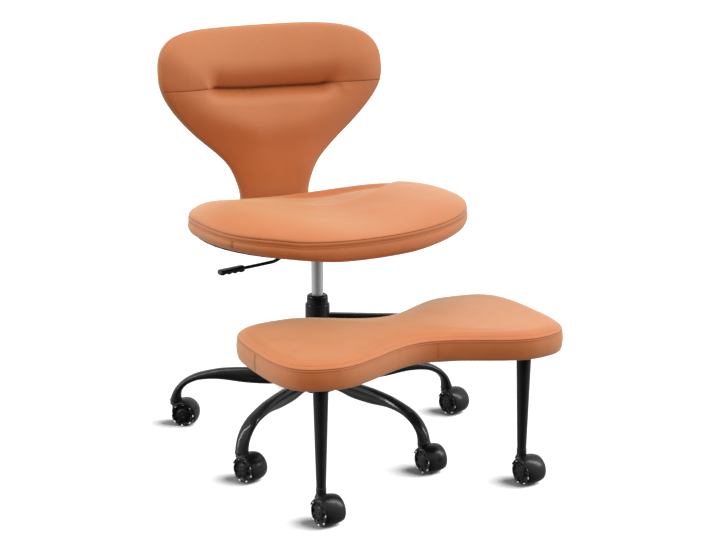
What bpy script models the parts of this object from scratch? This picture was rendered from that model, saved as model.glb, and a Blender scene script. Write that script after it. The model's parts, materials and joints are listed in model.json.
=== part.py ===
"""Cross-legged office chair: five-leg caster base, gas lift, oval cradle seat with a mushroom back, and an
hourglass footrest stool that swings about the column on its own two caster legs.

Lengths are in metres. Shapes are written in the column frame: origin on the column axis, +Z up, the sitter faces -Y,
and the floor lies FLOOR_Z above the datum. The root empty moves them so that the casters stand on z = 0 and the
origin is the bottom centre of the bounding box.
"""

import math

import bmesh
import bpy
from mathutils import Vector

# ------------------------------------------------------------------ driving dimensions
FLOOR_Z = 0.0115
ORIGIN_SHIFT = (-0.02552, 0.11506, -FLOOR_Z)

# casters
WHEEL_R = 0.0280
WHEEL_IN, WHEEL_OUT = 0.0088, 0.0240
CASTER_TRAIL = 0.0219
HOOD_R_IN, HOOD_R_OUT = 0.0296, 0.0320
HOOD_HALF = 0.0238
WEB_HALF = 0.0082
HOOD_TOP = 0.0586
STEM_R = 0.0050
STEM_BORE = 0.0057
STEM_LOW, STEM_HIGH = 0.0350, 0.0761
# swivel of each caster at rest, in degrees from trailing forward
BASE_SWIVELS = (51.6, 24.3, 8.0, 19.5, 33.0)
FOOT_SWIVELS = (9.3, 10.6)
AXLE_R, AXLE_BORE = 0.0029, 0.0035
SOCKET_R = 0.0090

# five-leg base
BASE_R = 0.350
LEG_ANGLES = (-128.2, -56.2, 15.8, 87.8, 159.8)
LEG_END_Z = 0.072
LEG_TUBE_R = 0.0130
LEG_BORE, LEG_BORE_TOP = 0.0060, 0.0884
HUB_FLAT_R = 0.0330
HUB_Z = (0.1215, 0.166)
HUB_BORE = 0.0276

# gas lift
TUBE_R, TUBE_TOP_R, TUBE_IN_R = 0.0270, 0.0250, 0.0236
TUBE_Z = (0.1195, 0.341)
TUBE_SHOULDER_Z = 0.2677
BUSH_TOP = 0.3505
CYL_R, CYL_TAPER_R = 0.0140, 0.0132
CYL_Z = (0.217, 0.4783)
PISTON_R, PISTON_TOP = 0.0050, 0.340

# footrest
SLEEVE_R, SLEEVE_BORE = 0.0290, 0.0256
SLEEVE_Z = (0.268, 0.329)
FOOT_X, FOOT_Y, FOOT_TURN = 0.007, -0.386, math.radians(-1.6)
FOOT_HALF_LENGTH, FOOT_LOBE, FOOT_WAIST = 0.3445, 0.1841, 0.100
FOOT_END, FOOT_SIDE = 0.23, 0.65
FOOT_WAIST_REACH = 0.243
FOOT_BOARD_Z = (0.306, 0.314)
FOOT_SEAM_Z, FOOT_CROWN_Z = 0.359, 0.377
FOOT_LEG_X, FOOT_LEG_Y = 0.250, -0.500
CROSS_BAR_Y = -0.360
FOOT_LEG_TOP_R, FOOT_LEG_END_R = 0.0165, 0.0100

# seat
SEAT_Y = -0.0595
SEAT_HALF_WIDTH, SEAT_HALF_DEPTH, SEAT_POWER = 0.3255, 0.235, 2.415
PLATE_TOP = 0.500
BOARD_THICK, BOARD_DEPTH_SHARE = 0.006, 0.89
SEAT_SEAM_Z = 0.551
SEAT_CROWN, SEAT_SIDE_CROWN, SEAT_DISH = 0.012, 0.0155, 0.013

# back
NECK_HALF, BACK_HALF = 0.088, 0.293
BACK_LOW, BACK_FLARE, BACK_WIDEST, BACK_TOP = 0.522, 0.545, 0.845, 0.952
BACK_Y, BACK_LEAN, BACK_WRAP = 0.232, 0.128, 0.045
BLADE_HALF, BLADE_THICK, BLADE_TOP = 0.030, 0.006, 0.600

# lever
LEVER_PIVOT = (-0.040, 0.0, 0.4810)
LEVER_ROD_R = 0.0040

# ------------------------------------------------------------------ helpers
for old in list(bpy.data.objects):
    bpy.data.objects.remove(old, do_unlink=True)
for old in list(bpy.data.meshes):
    bpy.data.meshes.remove(old)

FINISHES = {
    "leather": ((0.62, 0.23, 0.075), 0.45, 0.0),
    "black_steel": ((0.012, 0.012, 0.013), 0.32, 0.55),
    "black_plastic": ((0.014, 0.014, 0.015), 0.38, 0.0),
    "black_board": ((0.02, 0.02, 0.02), 0.75, 0.0),
    "chrome": ((0.82, 0.82, 0.84), 0.10, 1.0),
    "bright_steel": ((0.55, 0.55, 0.57), 0.28, 1.0),
}


def material(name, finish):
    colour, roughness, metallic = FINISHES[finish]
    made = bpy.data.materials.new(name + "_material")
    made.use_nodes = True
    shader = made.node_tree.nodes["Principled BSDF"]
    shader.inputs["Base Color"].default_value = (*colour, 1.0)
    shader.inputs["Roughness"].default_value = roughness
    shader.inputs["Metallic"].default_value = metallic
    made.diffuse_color = (*colour, 1.0)
    return made


PLACE = {}


def empty(name, location=(0.0, 0.0, 0.0), parent=None):
    made = bpy.data.objects.new(name, None)
    made.empty_display_size = 0.03
    bpy.context.scene.collection.objects.link(made)
    PLACE[name] = Vector(location)
    if parent is not None:
        made.parent = parent
        made.location = PLACE[name] - PLACE[parent.name]
    return made


def finish_mesh(name, bm, angle=35.0):
    bmesh.ops.recalc_face_normals(bm, faces=bm.faces)
    mesh = bpy.data.meshes.new(name)
    bm.to_mesh(mesh)
    bm.free()
    mesh.shade_smooth()
    mesh.set_sharp_from_angle(angle=math.radians(angle))
    return mesh


def place(name, mesh, finish, parent, origin=(0.0, 0.0, 0.0)):
    """One node. The mesh is written about its origin, which is given in the column frame."""
    made = bpy.data.objects.new(name, mesh)
    bpy.context.scene.collection.objects.link(made)
    made.parent = parent
    made.location = Vector(origin) - PLACE[parent.name]
    if mesh.materials:
        made.material_slots[0].link = "OBJECT"
        made.material_slots[0].material = material(name, finish)
    else:
        mesh.materials.append(material(name, finish))
    return made


def join(bm, a, b, split=False):
    """Faces between two rings. A ring of one point is a pole."""
    n = max(len(a), len(b))
    for k in range(n):
        m = (k + 1) % n
        corners = [a[k % len(a)], a[m % len(a)], b[m % len(b)], b[k % len(b)]]
        distinct = []
        for v in corners:
            if v not in distinct:
                distinct.append(v)
        if split and len(distinct) == 4:
            bm.faces.new([distinct[0], distinct[1], distinct[2]])
            bm.faces.new([distinct[0], distinct[2], distinct[3]])
        else:
            bm.faces.new(distinct)


def loft(rings, closed=False, split=False):
    """Skins rings of points. Open ends of more than one point get a flat cap. With split, every quad is cut along
    the same diagonal, so that two skins made from the same plan stay parallel."""
    bm = bmesh.new()
    made = [[bm.verts.new(p) for p in ring] for ring in rings]
    for a, b in zip(made, made[1:]):
        join(bm, a, b, split)
    if closed:
        join(bm, made[-1], made[0])
    else:
        for ring in (made[0], made[-1]):
            if len(ring) > 1:
                bm.faces.new(ring)
    return bm


def circle(r, z, sides, phase=0.0, centre=(0.0, 0.0)):
    if r < 1e-9:
        return [(centre[0], centre[1], z)]
    return [
        (
            centre[0] + r * math.cos(phase + math.tau * k / sides),
            centre[1] + r * math.sin(phase + math.tau * k / sides),
            z,
        )
        for k in range(sides)
    ]


def lathe(profile, sides, closed=False, phase=0.0, centre=(0.0, 0.0)):
    return loft([circle(r, z, sides, phase, centre) for r, z in profile], closed)


def lathe_x(profile, sides, phase=0.0, closed=False):
    """Turned about X: the profile is (radius, x)."""
    rings = []
    for r, x in profile:
        rings.append([(x, p[0], p[1]) for p in circle(r, 0.0, sides, phase)])
    return loft(rings, closed)


def power(value, exponent):
    return math.copysign(abs(value) ** exponent, value)


def box(low, high):
    x0, y0, z0 = low
    x1, y1, z1 = high
    plan = [(x0, y0), (x1, y0), (x1, y1), (x0, y1)]
    return loft([[(x, y, z) for x, y in plan] for z in (z0, z1)])


def combine(name, first, rest):
    """Boolean chain: rest is a list of (operation, bmesh). Gives the finished mesh."""
    helpers = [bpy.data.objects.new(name + "_blank", finish_mesh(name + "_blank", first))]
    bpy.context.scene.collection.objects.link(helpers[0])
    for k, (operation, bm) in enumerate(rest):
        tool = bpy.data.objects.new(f"{name}_tool_{k}", finish_mesh(f"{name}_tool_{k}", bm))
        bpy.context.scene.collection.objects.link(tool)
        tool.hide_render = True
        tool.display_type = "WIRE"
        cut = helpers[0].modifiers.new(f"step_{k}", "BOOLEAN")
        cut.operation = operation
        cut.solver = "EXACT"
        cut.object = tool
        helpers.append(tool)
    bpy.context.view_layer.update()
    graph = bpy.context.evaluated_depsgraph_get()
    mesh = bpy.data.meshes.new_from_object(helpers[0].evaluated_get(graph))
    mesh.name = name
    for helper in helpers:
        bpy.data.objects.remove(helper, do_unlink=True)
    bm = bmesh.new()
    bm.from_mesh(mesh)
    bmesh.ops.remove_doubles(bm, verts=bm.verts, dist=2e-6)
    bm.to_mesh(mesh)
    bm.free()
    mesh.materials.clear()
    mesh.shade_smooth()
    mesh.set_sharp_from_angle(angle=math.radians(35.0))
    return mesh


# ------------------------------------------------------------------ joint frames
root = empty("chair_root")
root.location = ORIGIN_SHIFT
base_frame = empty("base_frame", parent=root)
swivel_frame = empty("seat_swivel_axis", parent=root)
seat_frame = empty("seat_lift_axis", parent=swivel_frame)
lever_frame = empty("lever_axis", LEVER_PIVOT, seat_frame)
pin_frame = empty("release_pin_axis", (0.0, 0.0, 0.465), seat_frame)
footrest_frame = empty("footrest_swing_axis", parent=root)

# ------------------------------------------------------------------ casters
stem_mesh = finish_mesh(
    "caster_stem",
    lathe(
        [
            (0.0, STEM_LOW),
            (STEM_R, STEM_LOW),
            (STEM_R, HOOD_TOP + 0.0004),
            (0.0080, HOOD_TOP + 0.0004),
            (0.0080, HOOD_TOP + 0.0015),
            (STEM_R, HOOD_TOP + 0.0015),
            (STEM_R, STEM_HIGH),
            (0.0, STEM_HIGH),
        ],
        12,
    ),
)


def hood_mesh():
    """Hood about the stem axis: web between the wheels, curved cover over both, socket for the stem."""
    arc = [math.radians(4.0 + 10.0 * k) for k in range(13)]
    cover_arc = [math.radians(-36.0 + 10.0 * k) for k in range(19)]

    def at(angle, radius):
        return (-CASTER_TRAIL - radius * math.cos(angle), WHEEL_R + radius * math.sin(angle))

    side = [at(a, HOOD_R_OUT - 0.0006) for a in arc]
    side += [(0.0090, 0.0500), (0.0090, 0.0350), (-0.0110, 0.0215), (-0.0219, 0.0185), (-0.0330, 0.0215)]
    web = loft([[(x, y, z) for y, z in side] for x in (-WEB_HALF, WEB_HALF)])
    band = [at(a, HOOD_R_OUT) for a in cover_arc] + [at(a, HOOD_R_IN) for a in reversed(cover_arc)]
    round_in = 0.0022
    cover = loft(
        [
            [(x, y, z) for y, z in band]
            for x in (-HOOD_HALF, -HOOD_HALF + round_in, HOOD_HALF - round_in, HOOD_HALF)
        ]
    )
    socket = lathe([(0.0, 0.0490), (SOCKET_R, 0.0515), (SOCKET_R, HOOD_TOP - 0.0015), (SOCKET_R - 0.0015, HOOD_TOP), (0.0, HOOD_TOP)], 16)
    stem_bore = lathe([(0.0, 0.0345), (STEM_BORE, 0.0345), (STEM_BORE, 0.0700), (0.0, 0.0700)], 16)
    axle_bore = lathe_x([(0.0, -0.03), (AXLE_BORE, -0.03), (AXLE_BORE, 0.03), (0.0, 0.03)], 12)
    bmesh.ops.translate(axle_bore, verts=axle_bore.verts, vec=(0.0, -CASTER_TRAIL, WHEEL_R))
    return combine(
        "caster_hood",
        web,
        [("UNION", cover), ("UNION", socket), ("DIFFERENCE", stem_bore), ("DIFFERENCE", axle_bore)],
    )


WHEEL_SIDES = 24
wheel_corner = WHEEL_R / math.cos(math.pi / WHEEL_SIDES)


def wheel_mesh(name, sign):
    profile = [
        (AXLE_BORE, sign * WHEEL_IN),
        (wheel_corner - 0.0005, sign * WHEEL_IN),
        (wheel_corner, sign * (WHEEL_IN + 0.001)),
        (wheel_corner, sign * (WHEEL_OUT - 0.0030)),
        (wheel_corner - 0.0030, sign * WHEEL_OUT),
        (AXLE_BORE, sign * WHEEL_OUT),
    ]
    return finish_mesh(name, lathe_x(profile, WHEEL_SIDES, math.pi / WHEEL_SIDES - math.pi / 2, True))


hood_shape = hood_mesh()
wheel_left_shape = wheel_mesh("caster_wheel_left", -1)
wheel_right_shape = wheel_mesh("caster_wheel_right", 1)
axle_shape = finish_mesh(
    "caster_axle",
    lathe_x([(0.0, -0.0236), (AXLE_R, -0.0236), (AXLE_R, 0.0236), (0.0, 0.0236)], 10),
)


def caster(name, x, y, swivel, carrier):
    """Stem fixed in its carrier, hood on the swivel axis, wheels on the axle. The swivel empty holds the rest angle."""
    spot = Vector((x, y, FLOOR_Z))
    place(name + "_stem", stem_mesh, "bright_steel", carrier, spot)
    turn = empty(name + "_swivel_axis", spot, carrier)
    turn.rotation_euler = (0.0, 0.0, math.radians(swivel))
    place(name + "_hood", hood_shape, "black_plastic", turn, spot)
    hub = spot + Vector((0.0, -CASTER_TRAIL, WHEEL_R))
    place(name + "_axle", axle_shape, "bright_steel", turn, hub)
    place(name + "_wheel_left", wheel_left_shape, "black_plastic", turn, hub)
    place(name + "_wheel_right", wheel_right_shape, "black_plastic", turn, hub)


# ------------------------------------------------------------------ five-leg base
LEG_STATIONS = (
    # radius, height, half height, half width, direction of the tube in degrees below level
    (HUB_FLAT_R + 0.00035, 0.1440, 0.0145, 0.0140, 0.0),
    (0.078, 0.1440, 0.0152, 0.0139, 0.0),
    (0.120, 0.1420, 0.0190, 0.0138, 0.0),
    (0.190, 0.1435, 0.0170, 0.0135, 2.0),
    (0.240, 0.1405, 0.0150, 0.0130, 10.0),
    (0.280, 0.1320, 0.0135, 0.0127, 24.0),
    (0.308, 0.1180, 0.0128, LEG_TUBE_R, 38.0),
    (0.328, 0.1010, 0.0125, LEG_TUBE_R, 54.0),
    (0.340, 0.0865, 0.0125, LEG_TUBE_R, 70.0),
    (BASE_R, LEG_END_Z, LEG_TUBE_R, LEG_TUBE_R, 90.0),
)
LEG_SIDES = 12


def leg_mesh(name, angle):
    a = math.radians(angle)
    out = Vector((math.sin(a), -math.cos(a), 0.0))
    side = Vector((math.cos(a), math.sin(a), 0.0))
    up = Vector((0.0, 0.0, 1.0))
    rings = []
    for radius, height, half_h, half_w, down in LEG_STATIONS:
        d = math.radians(down)
        rise = up * math.cos(d) + out * math.sin(d)
        centre = out * radius + up * height
        flat = 1.0 - 0.22 * math.cos(d) ** 2
        rings.append(
            [
                centre
                + side * (half_w * power(math.cos(t), flat))
                + rise * (half_h * power(math.sin(t), flat))
                for t in (math.tau * k / LEG_SIDES for k in range(LEG_SIDES))
            ]
        )
    for z in (LEG_END_Z, LEG_BORE_TOP):
        rings.append(
            [
                out * BASE_R + side * (LEG_BORE * math.cos(t)) + out * (LEG_BORE * math.sin(t)) + up * z
                for t in (math.tau * k / LEG_SIDES for k in range(LEG_SIDES))
            ]
        )
    return finish_mesh(name, loft(rings))


hub_corner = HUB_FLAT_R / math.cos(math.pi / 20)
hub_phase = math.radians(LEG_ANGLES[0] - 90.0) + math.pi / 20
place(
    "base_hub",
    finish_mesh(
        "base_hub",
        lathe(
            [
                (HUB_BORE, HUB_Z[0]),
                (hub_corner - 0.002, HUB_Z[0]),
                (hub_corner, HUB_Z[0] + 0.002),
                (hub_corner, HUB_Z[1] - 0.002),
                (hub_corner - 0.002, HUB_Z[1]),
                (HUB_BORE, HUB_Z[1]),
            ],
            20,
            True,
            hub_phase,
        ),
    ),
    "black_steel",
    base_frame,
)
for number, angle in enumerate(LEG_ANGLES, 1):
    place(f"base_leg_{number}", leg_mesh(f"base_leg_{number}", angle), "black_steel", base_frame)
    a = math.radians(angle)
    caster(f"base_caster_{number}", BASE_R * math.sin(a), -BASE_R * math.cos(a), BASE_SWIVELS[number - 1], base_frame)

# ------------------------------------------------------------------ gas lift
place(
    "gas_lift_tube",
    finish_mesh(
        "gas_lift_tube",
        lathe(
            [
                (0.0048, TUBE_Z[0]),
                (TUBE_R, TUBE_Z[0]),
                (TUBE_R, TUBE_SHOULDER_Z),
                (TUBE_TOP_R, TUBE_SHOULDER_Z),
                (TUBE_TOP_R, TUBE_Z[1]),
                (TUBE_IN_R, TUBE_Z[1]),
                (TUBE_IN_R, TUBE_Z[0] + 0.003),
                (0.0048, TUBE_Z[0] + 0.003),
            ],
            28,
            True,
        ),
    ),
    "black_steel",
    base_frame,
)
place(
    "gas_lift_guide_bush",
    finish_mesh(
        "gas_lift_guide_bush",
        lathe(
            [
                (0.0145, 0.250),
                (0.0231, 0.250),
                (0.0231, TUBE_Z[1] + 0.0003),
                (0.0248, TUBE_Z[1] + 0.0003),
                (0.0248, BUSH_TOP - 0.004),
                (0.0222, BUSH_TOP),
                (0.0145, BUSH_TOP),
            ],
            28,
            True,
        ),
    ),
    "black_plastic",
    base_frame,
)
place(
    "gas_lift_piston_rod",
    finish_mesh(
        "gas_lift_piston_rod",
        lathe(
            [
                (0.0, TUBE_Z[0] - 0.0050),
                (0.0040, TUBE_Z[0] - 0.0050),
                (0.0040, TUBE_Z[0] + 0.0034),
                (0.0120, TUBE_Z[0] + 0.0034),
                (0.0120, TUBE_Z[0] + 0.0074),
                (PISTON_R, TUBE_Z[0] + 0.0074),
                (PISTON_R, PISTON_TOP),
                (0.0, PISTON_TOP),
            ],
            14,
        ),
    ),
    "bright_steel",
    swivel_frame,
)
place(
    "gas_lift_cylinder",
    finish_mesh(
        "gas_lift_cylinder",
        lathe(
            [
                (0.0, 0.4320),
                (0.0058, 0.4320),
                (0.0058, CYL_Z[0]),
                (CYL_R, CYL_Z[0]),
                (CYL_R, 0.4380),
                (CYL_TAPER_R, CYL_Z[1]),
                (0.0036, CYL_Z[1]),
                (0.0036, 0.4600),
                (0.0, 0.4600),
            ],
            28,
        ),
    ),
    "chrome",
    seat_frame,
)
place(
    "gas_release_pin",
    finish_mesh(
        "gas_release_pin",
        lathe([(0.0, 0.0), (0.0030, 0.0), (0.0030, 0.0180), (0.0, 0.0180)], 12),
    ),
    "bright_steel",
    pin_frame,
    (0.0, 0.0, 0.4680),
)

# ------------------------------------------------------------------ seat mechanism, lever


def mechanism_mesh():
    def rectangle(half_x, half_y, z, corner):
        plan = [
            (half_x - corner, -half_y),
            (half_x, -half_y + corner),
            (half_x, half_y - corner),
            (half_x - corner, half_y),
            (-half_x + corner, half_y),
            (-half_x, half_y - corner),
            (-half_x, -half_y + corner),
            (-half_x + corner, -half_y),
        ]
        return [(x, y, z) for x, y in plan]

    plate = loft([rectangle(0.080, 0.100, z, 0.012) for z in (PLATE_TOP - 0.0035, PLATE_TOP)])
    case = loft(
        [
            rectangle(0.030, 0.046, 0.4470, 0.010),
            rectangle(0.044, 0.070, 0.4600, 0.010),
            rectangle(0.044, 0.070, PLATE_TOP - 0.0010, 0.010),
        ]
    )
    boss = lathe([(0.0, 0.4415), (0.0195, 0.4415), (0.0210, 0.4700), (0.0, 0.4700)], 24)
    socket = lathe([(0.0, 0.4300), (0.0147, 0.4300), (0.0140, 0.4792), (0.0, 0.4792)], 24)
    channel = box((-0.075, -0.0060, 0.4640), (0.0070, 0.0060, 0.4950))
    return combine(
        "seat_mechanism",
        plate,
        [("UNION", case), ("UNION", boss), ("DIFFERENCE", socket), ("DIFFERENCE", channel)],
    )


place("seat_mechanism", mechanism_mesh(), "black_steel", seat_frame)


def tube_along(points, radius, sides, ahead=Vector((0.0, 1.0, 0.0))):
    """Round bar through points that lie in a plane whose normal is ahead."""
    rings = []
    for k, point in enumerate(points):
        before = points[max(k - 1, 0)]
        after = points[min(k + 1, len(points) - 1)]
        along = (Vector(after) - Vector(before)).normalized()
        across = ahead.cross(along).normalized()
        rings.append(
            [
                Vector(point) + ahead * (radius * math.cos(t)) + across * (radius * math.sin(t))
                for t in (math.tau * i / sides for i in range(sides))
            ]
        )
    return loft(rings)


px, py, pz = LEVER_PIVOT
lever_path = [
    (-0.0012 - px, 0.0, 0.4905 - pz),
    (-0.030 - px, 0.0, 0.4895 - pz),
    (-0.046 - px, 0.0, 0.4820 - pz),
    (-0.070 - px, 0.0, 0.4660 - pz),
    (-0.098 - px, 0.0, 0.4490 - pz),
    (-0.112 - px, 0.0, 0.4435 - pz),
    (-0.130 - px, 0.0, 0.4415 - pz),
    (-0.212 - px, 0.0, 0.4350 - pz),
]
place("lever_rod", finish_mesh("lever_rod", tube_along(lever_path, LEVER_ROD_R, 10)), "black_steel", lever_frame, LEVER_PIVOT)


def handle_mesh():
    stations = (
        # x, height of the centre, half width, half height
        (-0.1890, 0.4368, 0.0070, 0.0062),
        (-0.1940, 0.4365, 0.0105, 0.0072),
        (-0.2080, 0.4355, 0.0120, 0.0072),
        (-0.2440, 0.4335, 0.0130, 0.0062),
        (-0.2500, 0.4330, 0.0105, 0.0046),
        (-0.2515, 0.4330, 0.0060, 0.0025),
    )
    rings = []
    for x, z, half_w, half_h in stations:
        rings.append(
            [
                (x - px, half_w * power(math.cos(t), 0.6), z - pz + half_h * power(math.sin(t), 0.6))
                for t in (math.tau * k / 12 for k in range(12))
            ]
        )
    bore = tube_along(
        [(-0.170 - px, 0.0, 0.4350 + 0.042 * 0.0793 - pz), (-0.2124 - px, 0.0, 0.4350 - 0.0004 * 0.0793 - pz)],
        LEVER_ROD_R + 0.0005,
        10,
    )
    return combine("lever_handle", loft(rings), [("DIFFERENCE", bore)])


place("lever_handle", handle_mesh(), "black_plastic", lever_frame, LEVER_PIVOT)

# ------------------------------------------------------------------ seat
SEAT_SIDES = 40


def seat_plan(scale):
    e = 2.0 / SEAT_POWER
    return [
        (
            scale * SEAT_HALF_WIDTH * power(math.cos(t), e),
            SEAT_Y + scale * SEAT_HALF_DEPTH * power(math.sin(t), e),
        )
        for t in (math.tau * k / SEAT_SIDES for k in range(SEAT_SIDES))
    ]


def cradle(x):
    """Rise of the seat's underside towards its sides. It is flat over the mechanism plate."""
    return 0.0215 * (max(0.0, abs(x) - 0.090) / 0.210) ** 1.4


def seam_rise(x, y):
    behind = (y - (SEAT_Y - SEAT_HALF_DEPTH)) / (2.0 * SEAT_HALF_DEPTH)
    return 0.016 * (x / 0.327) ** 2 + 0.003 * behind


def crown(x, y):
    """Height of the padding over the seam: fuller to the sides, with a dish at the rear centre."""
    sides = min(1.0, (x / 0.220) ** 2)
    dish = math.exp(-((x / 0.170) ** 2) - ((y - 0.085) / 0.085) ** 2)
    return SEAT_CROWN + SEAT_SIDE_CROWN * sides - SEAT_DISH * dish


INNER_SCALES = (0.34, 0.68, 0.950)


def underside(height, scales):
    """Board plan: it stops well behind the front and short of the rear edge of the cushion."""
    rings = [[(0.0, SEAT_Y, height)]]
    for s in scales:
        rings.append([(x, SEAT_Y + (y - SEAT_Y) * BOARD_DEPTH_SHARE, height + cradle(x)) for x, y in seat_plan(s)])
    return rings


board_low = underside(PLATE_TOP + 0.0004, INNER_SCALES)
board_high = underside(PLATE_TOP + 0.0004 + BOARD_THICK, INNER_SCALES)
place("seat_board", finish_mesh("seat_board", loft(board_high + board_low[::-1], split=True)), "black_board", seat_frame)

cushion_low = PLATE_TOP + 0.0004 + BOARD_THICK + 0.0004


def seat_cushion_rings():
    rings = underside(cushion_low, INNER_SCALES)
    rings.append([(x, y, cushion_low + 0.002 + cradle(x)) for x, y in seat_plan(0.978)])
    for scale, part in ((0.997, 0.20), (1.005, 0.55), (0.999, 1.0)):
        ring = []
        for x, y in seat_plan(scale):
            low = cushion_low + 0.002 + cradle(x)
            high = SEAT_SEAM_Z + seam_rise(x, y)
            ring.append((x, y, low + (high - low) * part))
        rings.append(ring)
    for scale, lift in ((0.970, 0.36), (0.900, 0.62), (0.720, 0.86), (0.450, 0.98)):
        rings.append(
            [(x, y, SEAT_SEAM_Z + seam_rise(x, y) + crown(x, y) * lift) for x, y in seat_plan(scale)]
        )
    rings.append([(0.0, SEAT_Y, SEAT_SEAM_Z + seam_rise(0.0, SEAT_Y) + crown(0.0, SEAT_Y))])
    return rings


place("seat_cushion", finish_mesh("seat_cushion", loft(seat_cushion_rings(), split=True), 60.0), "leather", seat_frame)

# ------------------------------------------------------------------ back


def back_half_width(z):
    if z <= BACK_WIDEST:
        s = min(1.0, max(0.0, (z - BACK_FLARE) / (BACK_WIDEST - BACK_FLARE)))
        pinch = 1.0 - 0.065 * math.exp(-(((z - 0.632) / 0.042) ** 2))
        return (NECK_HALF + (BACK_HALF - NECK_HALF) * s * s * (3.0 - 2.0 * s)) * pinch
    u = (z - BACK_WIDEST) / (BACK_TOP - BACK_WIDEST)
    return BACK_HALF * max(0.0, 1.0 - u**3) ** (1.0 / 4.1)


def back_half_thickness(z):
    s = min(1.0, max(0.0, (z - 0.56) / 0.24))
    body = 0.026 + 0.008 * s
    if z > 0.89:
        u = (z - 0.89) / (BACK_TOP - 0.89)
        body *= max(0.0, 1.0 - u**2.4) ** 0.5
    return body


def back_y(x, z):
    bow = 0.006 * math.exp(-(((z - 0.632) / 0.060) ** 2))
    return BACK_Y + BACK_LEAN * (z - 0.56) - BACK_WRAP * (x / 0.290) ** 2 - bow


BACK_LEVELS = (BACK_LOW, BACK_LOW + 0.007, 0.560, 0.610, 0.655, 0.700, 0.745, 0.790, 0.830, 0.868, 0.897, 0.921, 0.938, 0.948)
BACK_SIDES = 24


def back_mesh():
    rings = []
    for z in BACK_LEVELS:
        half_w, half_t = back_half_width(z), back_half_thickness(z)
        if z == BACK_LOW:
            half_w, half_t = half_w - 0.006, half_t - 0.005
        ring = []
        for k in range(BACK_SIDES):
            t = math.tau * k / BACK_SIDES
            x = half_w * power(math.cos(t), 0.72)
            ring.append((x, back_y(x, z) + half_t * power(math.sin(t), 0.80), z))
        rings.append(ring)
    rings.append([(0.0, back_y(0.0, BACK_TOP), BACK_TOP)])
    slot = box(
        (-BLADE_HALF - 0.0008, BACK_Y - BLADE_THICK / 2 - 0.0008, 0.480),
        (BLADE_HALF + 0.0008, BACK_Y + BLADE_THICK / 2 + 0.0008, BLADE_TOP + 0.0010),
    )
    return combine("back_cushion", loft(rings), [("DIFFERENCE", slot)])


place("back_cushion", back_mesh(), "leather", seat_frame)


def bracket_mesh():
    """Flat bar: bolted under the seat board behind the plate, bent up into the neck."""
    top = PLATE_TOP
    mid = top - BLADE_THICK / 2
    bend = 0.018
    y_up = BACK_Y
    line = [(0.1045, mid), (y_up - bend, mid)]
    line += [
        (y_up - bend + bend * math.sin(a), mid + bend - bend * math.cos(a))
        for a in (math.radians(18.0 * k) for k in range(1, 5))
    ]
    line += [(y_up, mid + bend), (y_up, BLADE_TOP)]
    rings = []
    for k, (y, z) in enumerate(line):
        y0, z0 = line[max(k - 1, 0)]
        y1, z1 = line[min(k + 1, len(line) - 1)]
        along = Vector((0.0, y1 - y0, z1 - z0)).normalized()
        normal = Vector((0.0, -along.z, along.y)) * (BLADE_THICK / 2)
        centre = Vector((0.0, y, z))
        side = Vector((BLADE_HALF, 0.0, 0.0))
        rings.append([centre - side - normal, centre + side - normal, centre + side + normal, centre - side + normal])
    return finish_mesh("back_bracket", loft(rings))


place("back_bracket", bracket_mesh(), "black_steel", seat_frame)

# ------------------------------------------------------------------ footrest
place(
    "footrest_pivot_sleeve",
    finish_mesh(
        "footrest_pivot_sleeve",
        lathe(
            [
                (SLEEVE_BORE, SLEEVE_Z[0]),
                (SLEEVE_R, SLEEVE_Z[0]),
                (SLEEVE_R, SLEEVE_Z[1] - 0.002),
                (SLEEVE_R - 0.002, SLEEVE_Z[1]),
                (SLEEVE_BORE, SLEEVE_Z[1]),
            ],
            28,
            True,
        ),
    ),
    "black_steel",
    footrest_frame,
)

FOOT_SIDES = 56


def foot_plan(scale, inset=0.0):
    """Hourglass outline: a squarish oval whose depth narrows smoothly to the waist, in equal steps of length."""
    fine = []
    for k in range(1440):
        t = math.tau * k / 1440
        x = (FOOT_HALF_LENGTH - inset) * power(math.cos(t), FOOT_END)
        s = min(1.0, abs(x) / FOOT_WAIST_REACH)
        depth = FOOT_WAIST + (FOOT_LOBE - FOOT_WAIST) * s * s * (3.0 - 2.0 * s) - inset
        y = depth * power(math.sin(t), FOOT_SIDE)
        c, s = scale * math.cos(FOOT_TURN), scale * math.sin(FOOT_TURN)
        fine.append(Vector((FOOT_X + c * x - s * y, FOOT_Y + s * x + c * y)))
    fine.append(fine[0])
    run = [0.0]
    for a, b in zip(fine, fine[1:]):
        run.append(run[-1] + (b - a).length)
    points, at = [], 0
    for k in range(FOOT_SIDES):
        goal = run[-1] * k / FOOT_SIDES
        while run[at + 1] < goal:
            at += 1
        share = (goal - run[at]) / (run[at + 1] - run[at])
        spot = fine[at].lerp(fine[at + 1], share)
        points.append((spot.x, spot.y))
    return points


place(
    "footrest_board",
    finish_mesh("footrest_board", loft([[(x, y, z) for x, y in foot_plan(1.0, 0.028)] for z in FOOT_BOARD_Z])),
    "black_board",
    footrest_frame,
)
foot_low = FOOT_BOARD_Z[1] + 0.0004
foot_rings = [
    [(x, y, z) for x, y in foot_plan(scale, inset)]
    for scale, inset, z in (
        (1.0, 0.008, foot_low),
        (1.0, 0.0015, foot_low + 0.004),
        (1.0, -0.0010, 0.336),
        (1.0, 0.0, FOOT_SEAM_Z),
        (1.0, 0.010, FOOT_SEAM_Z + 0.008),
        (0.94, 0.020, FOOT_SEAM_Z + 0.012),
        (0.62, 0.020, FOOT_CROWN_Z - 0.001),
    )
]
foot_rings.append([(FOOT_X, FOOT_Y, FOOT_CROWN_Z)])
place("footrest_cushion", finish_mesh("footrest_cushion", loft(foot_rings), 60.0), "leather", footrest_frame)


ARM_HALF_W, ARM_HALF_H = 0.0100, 0.0122


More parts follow.
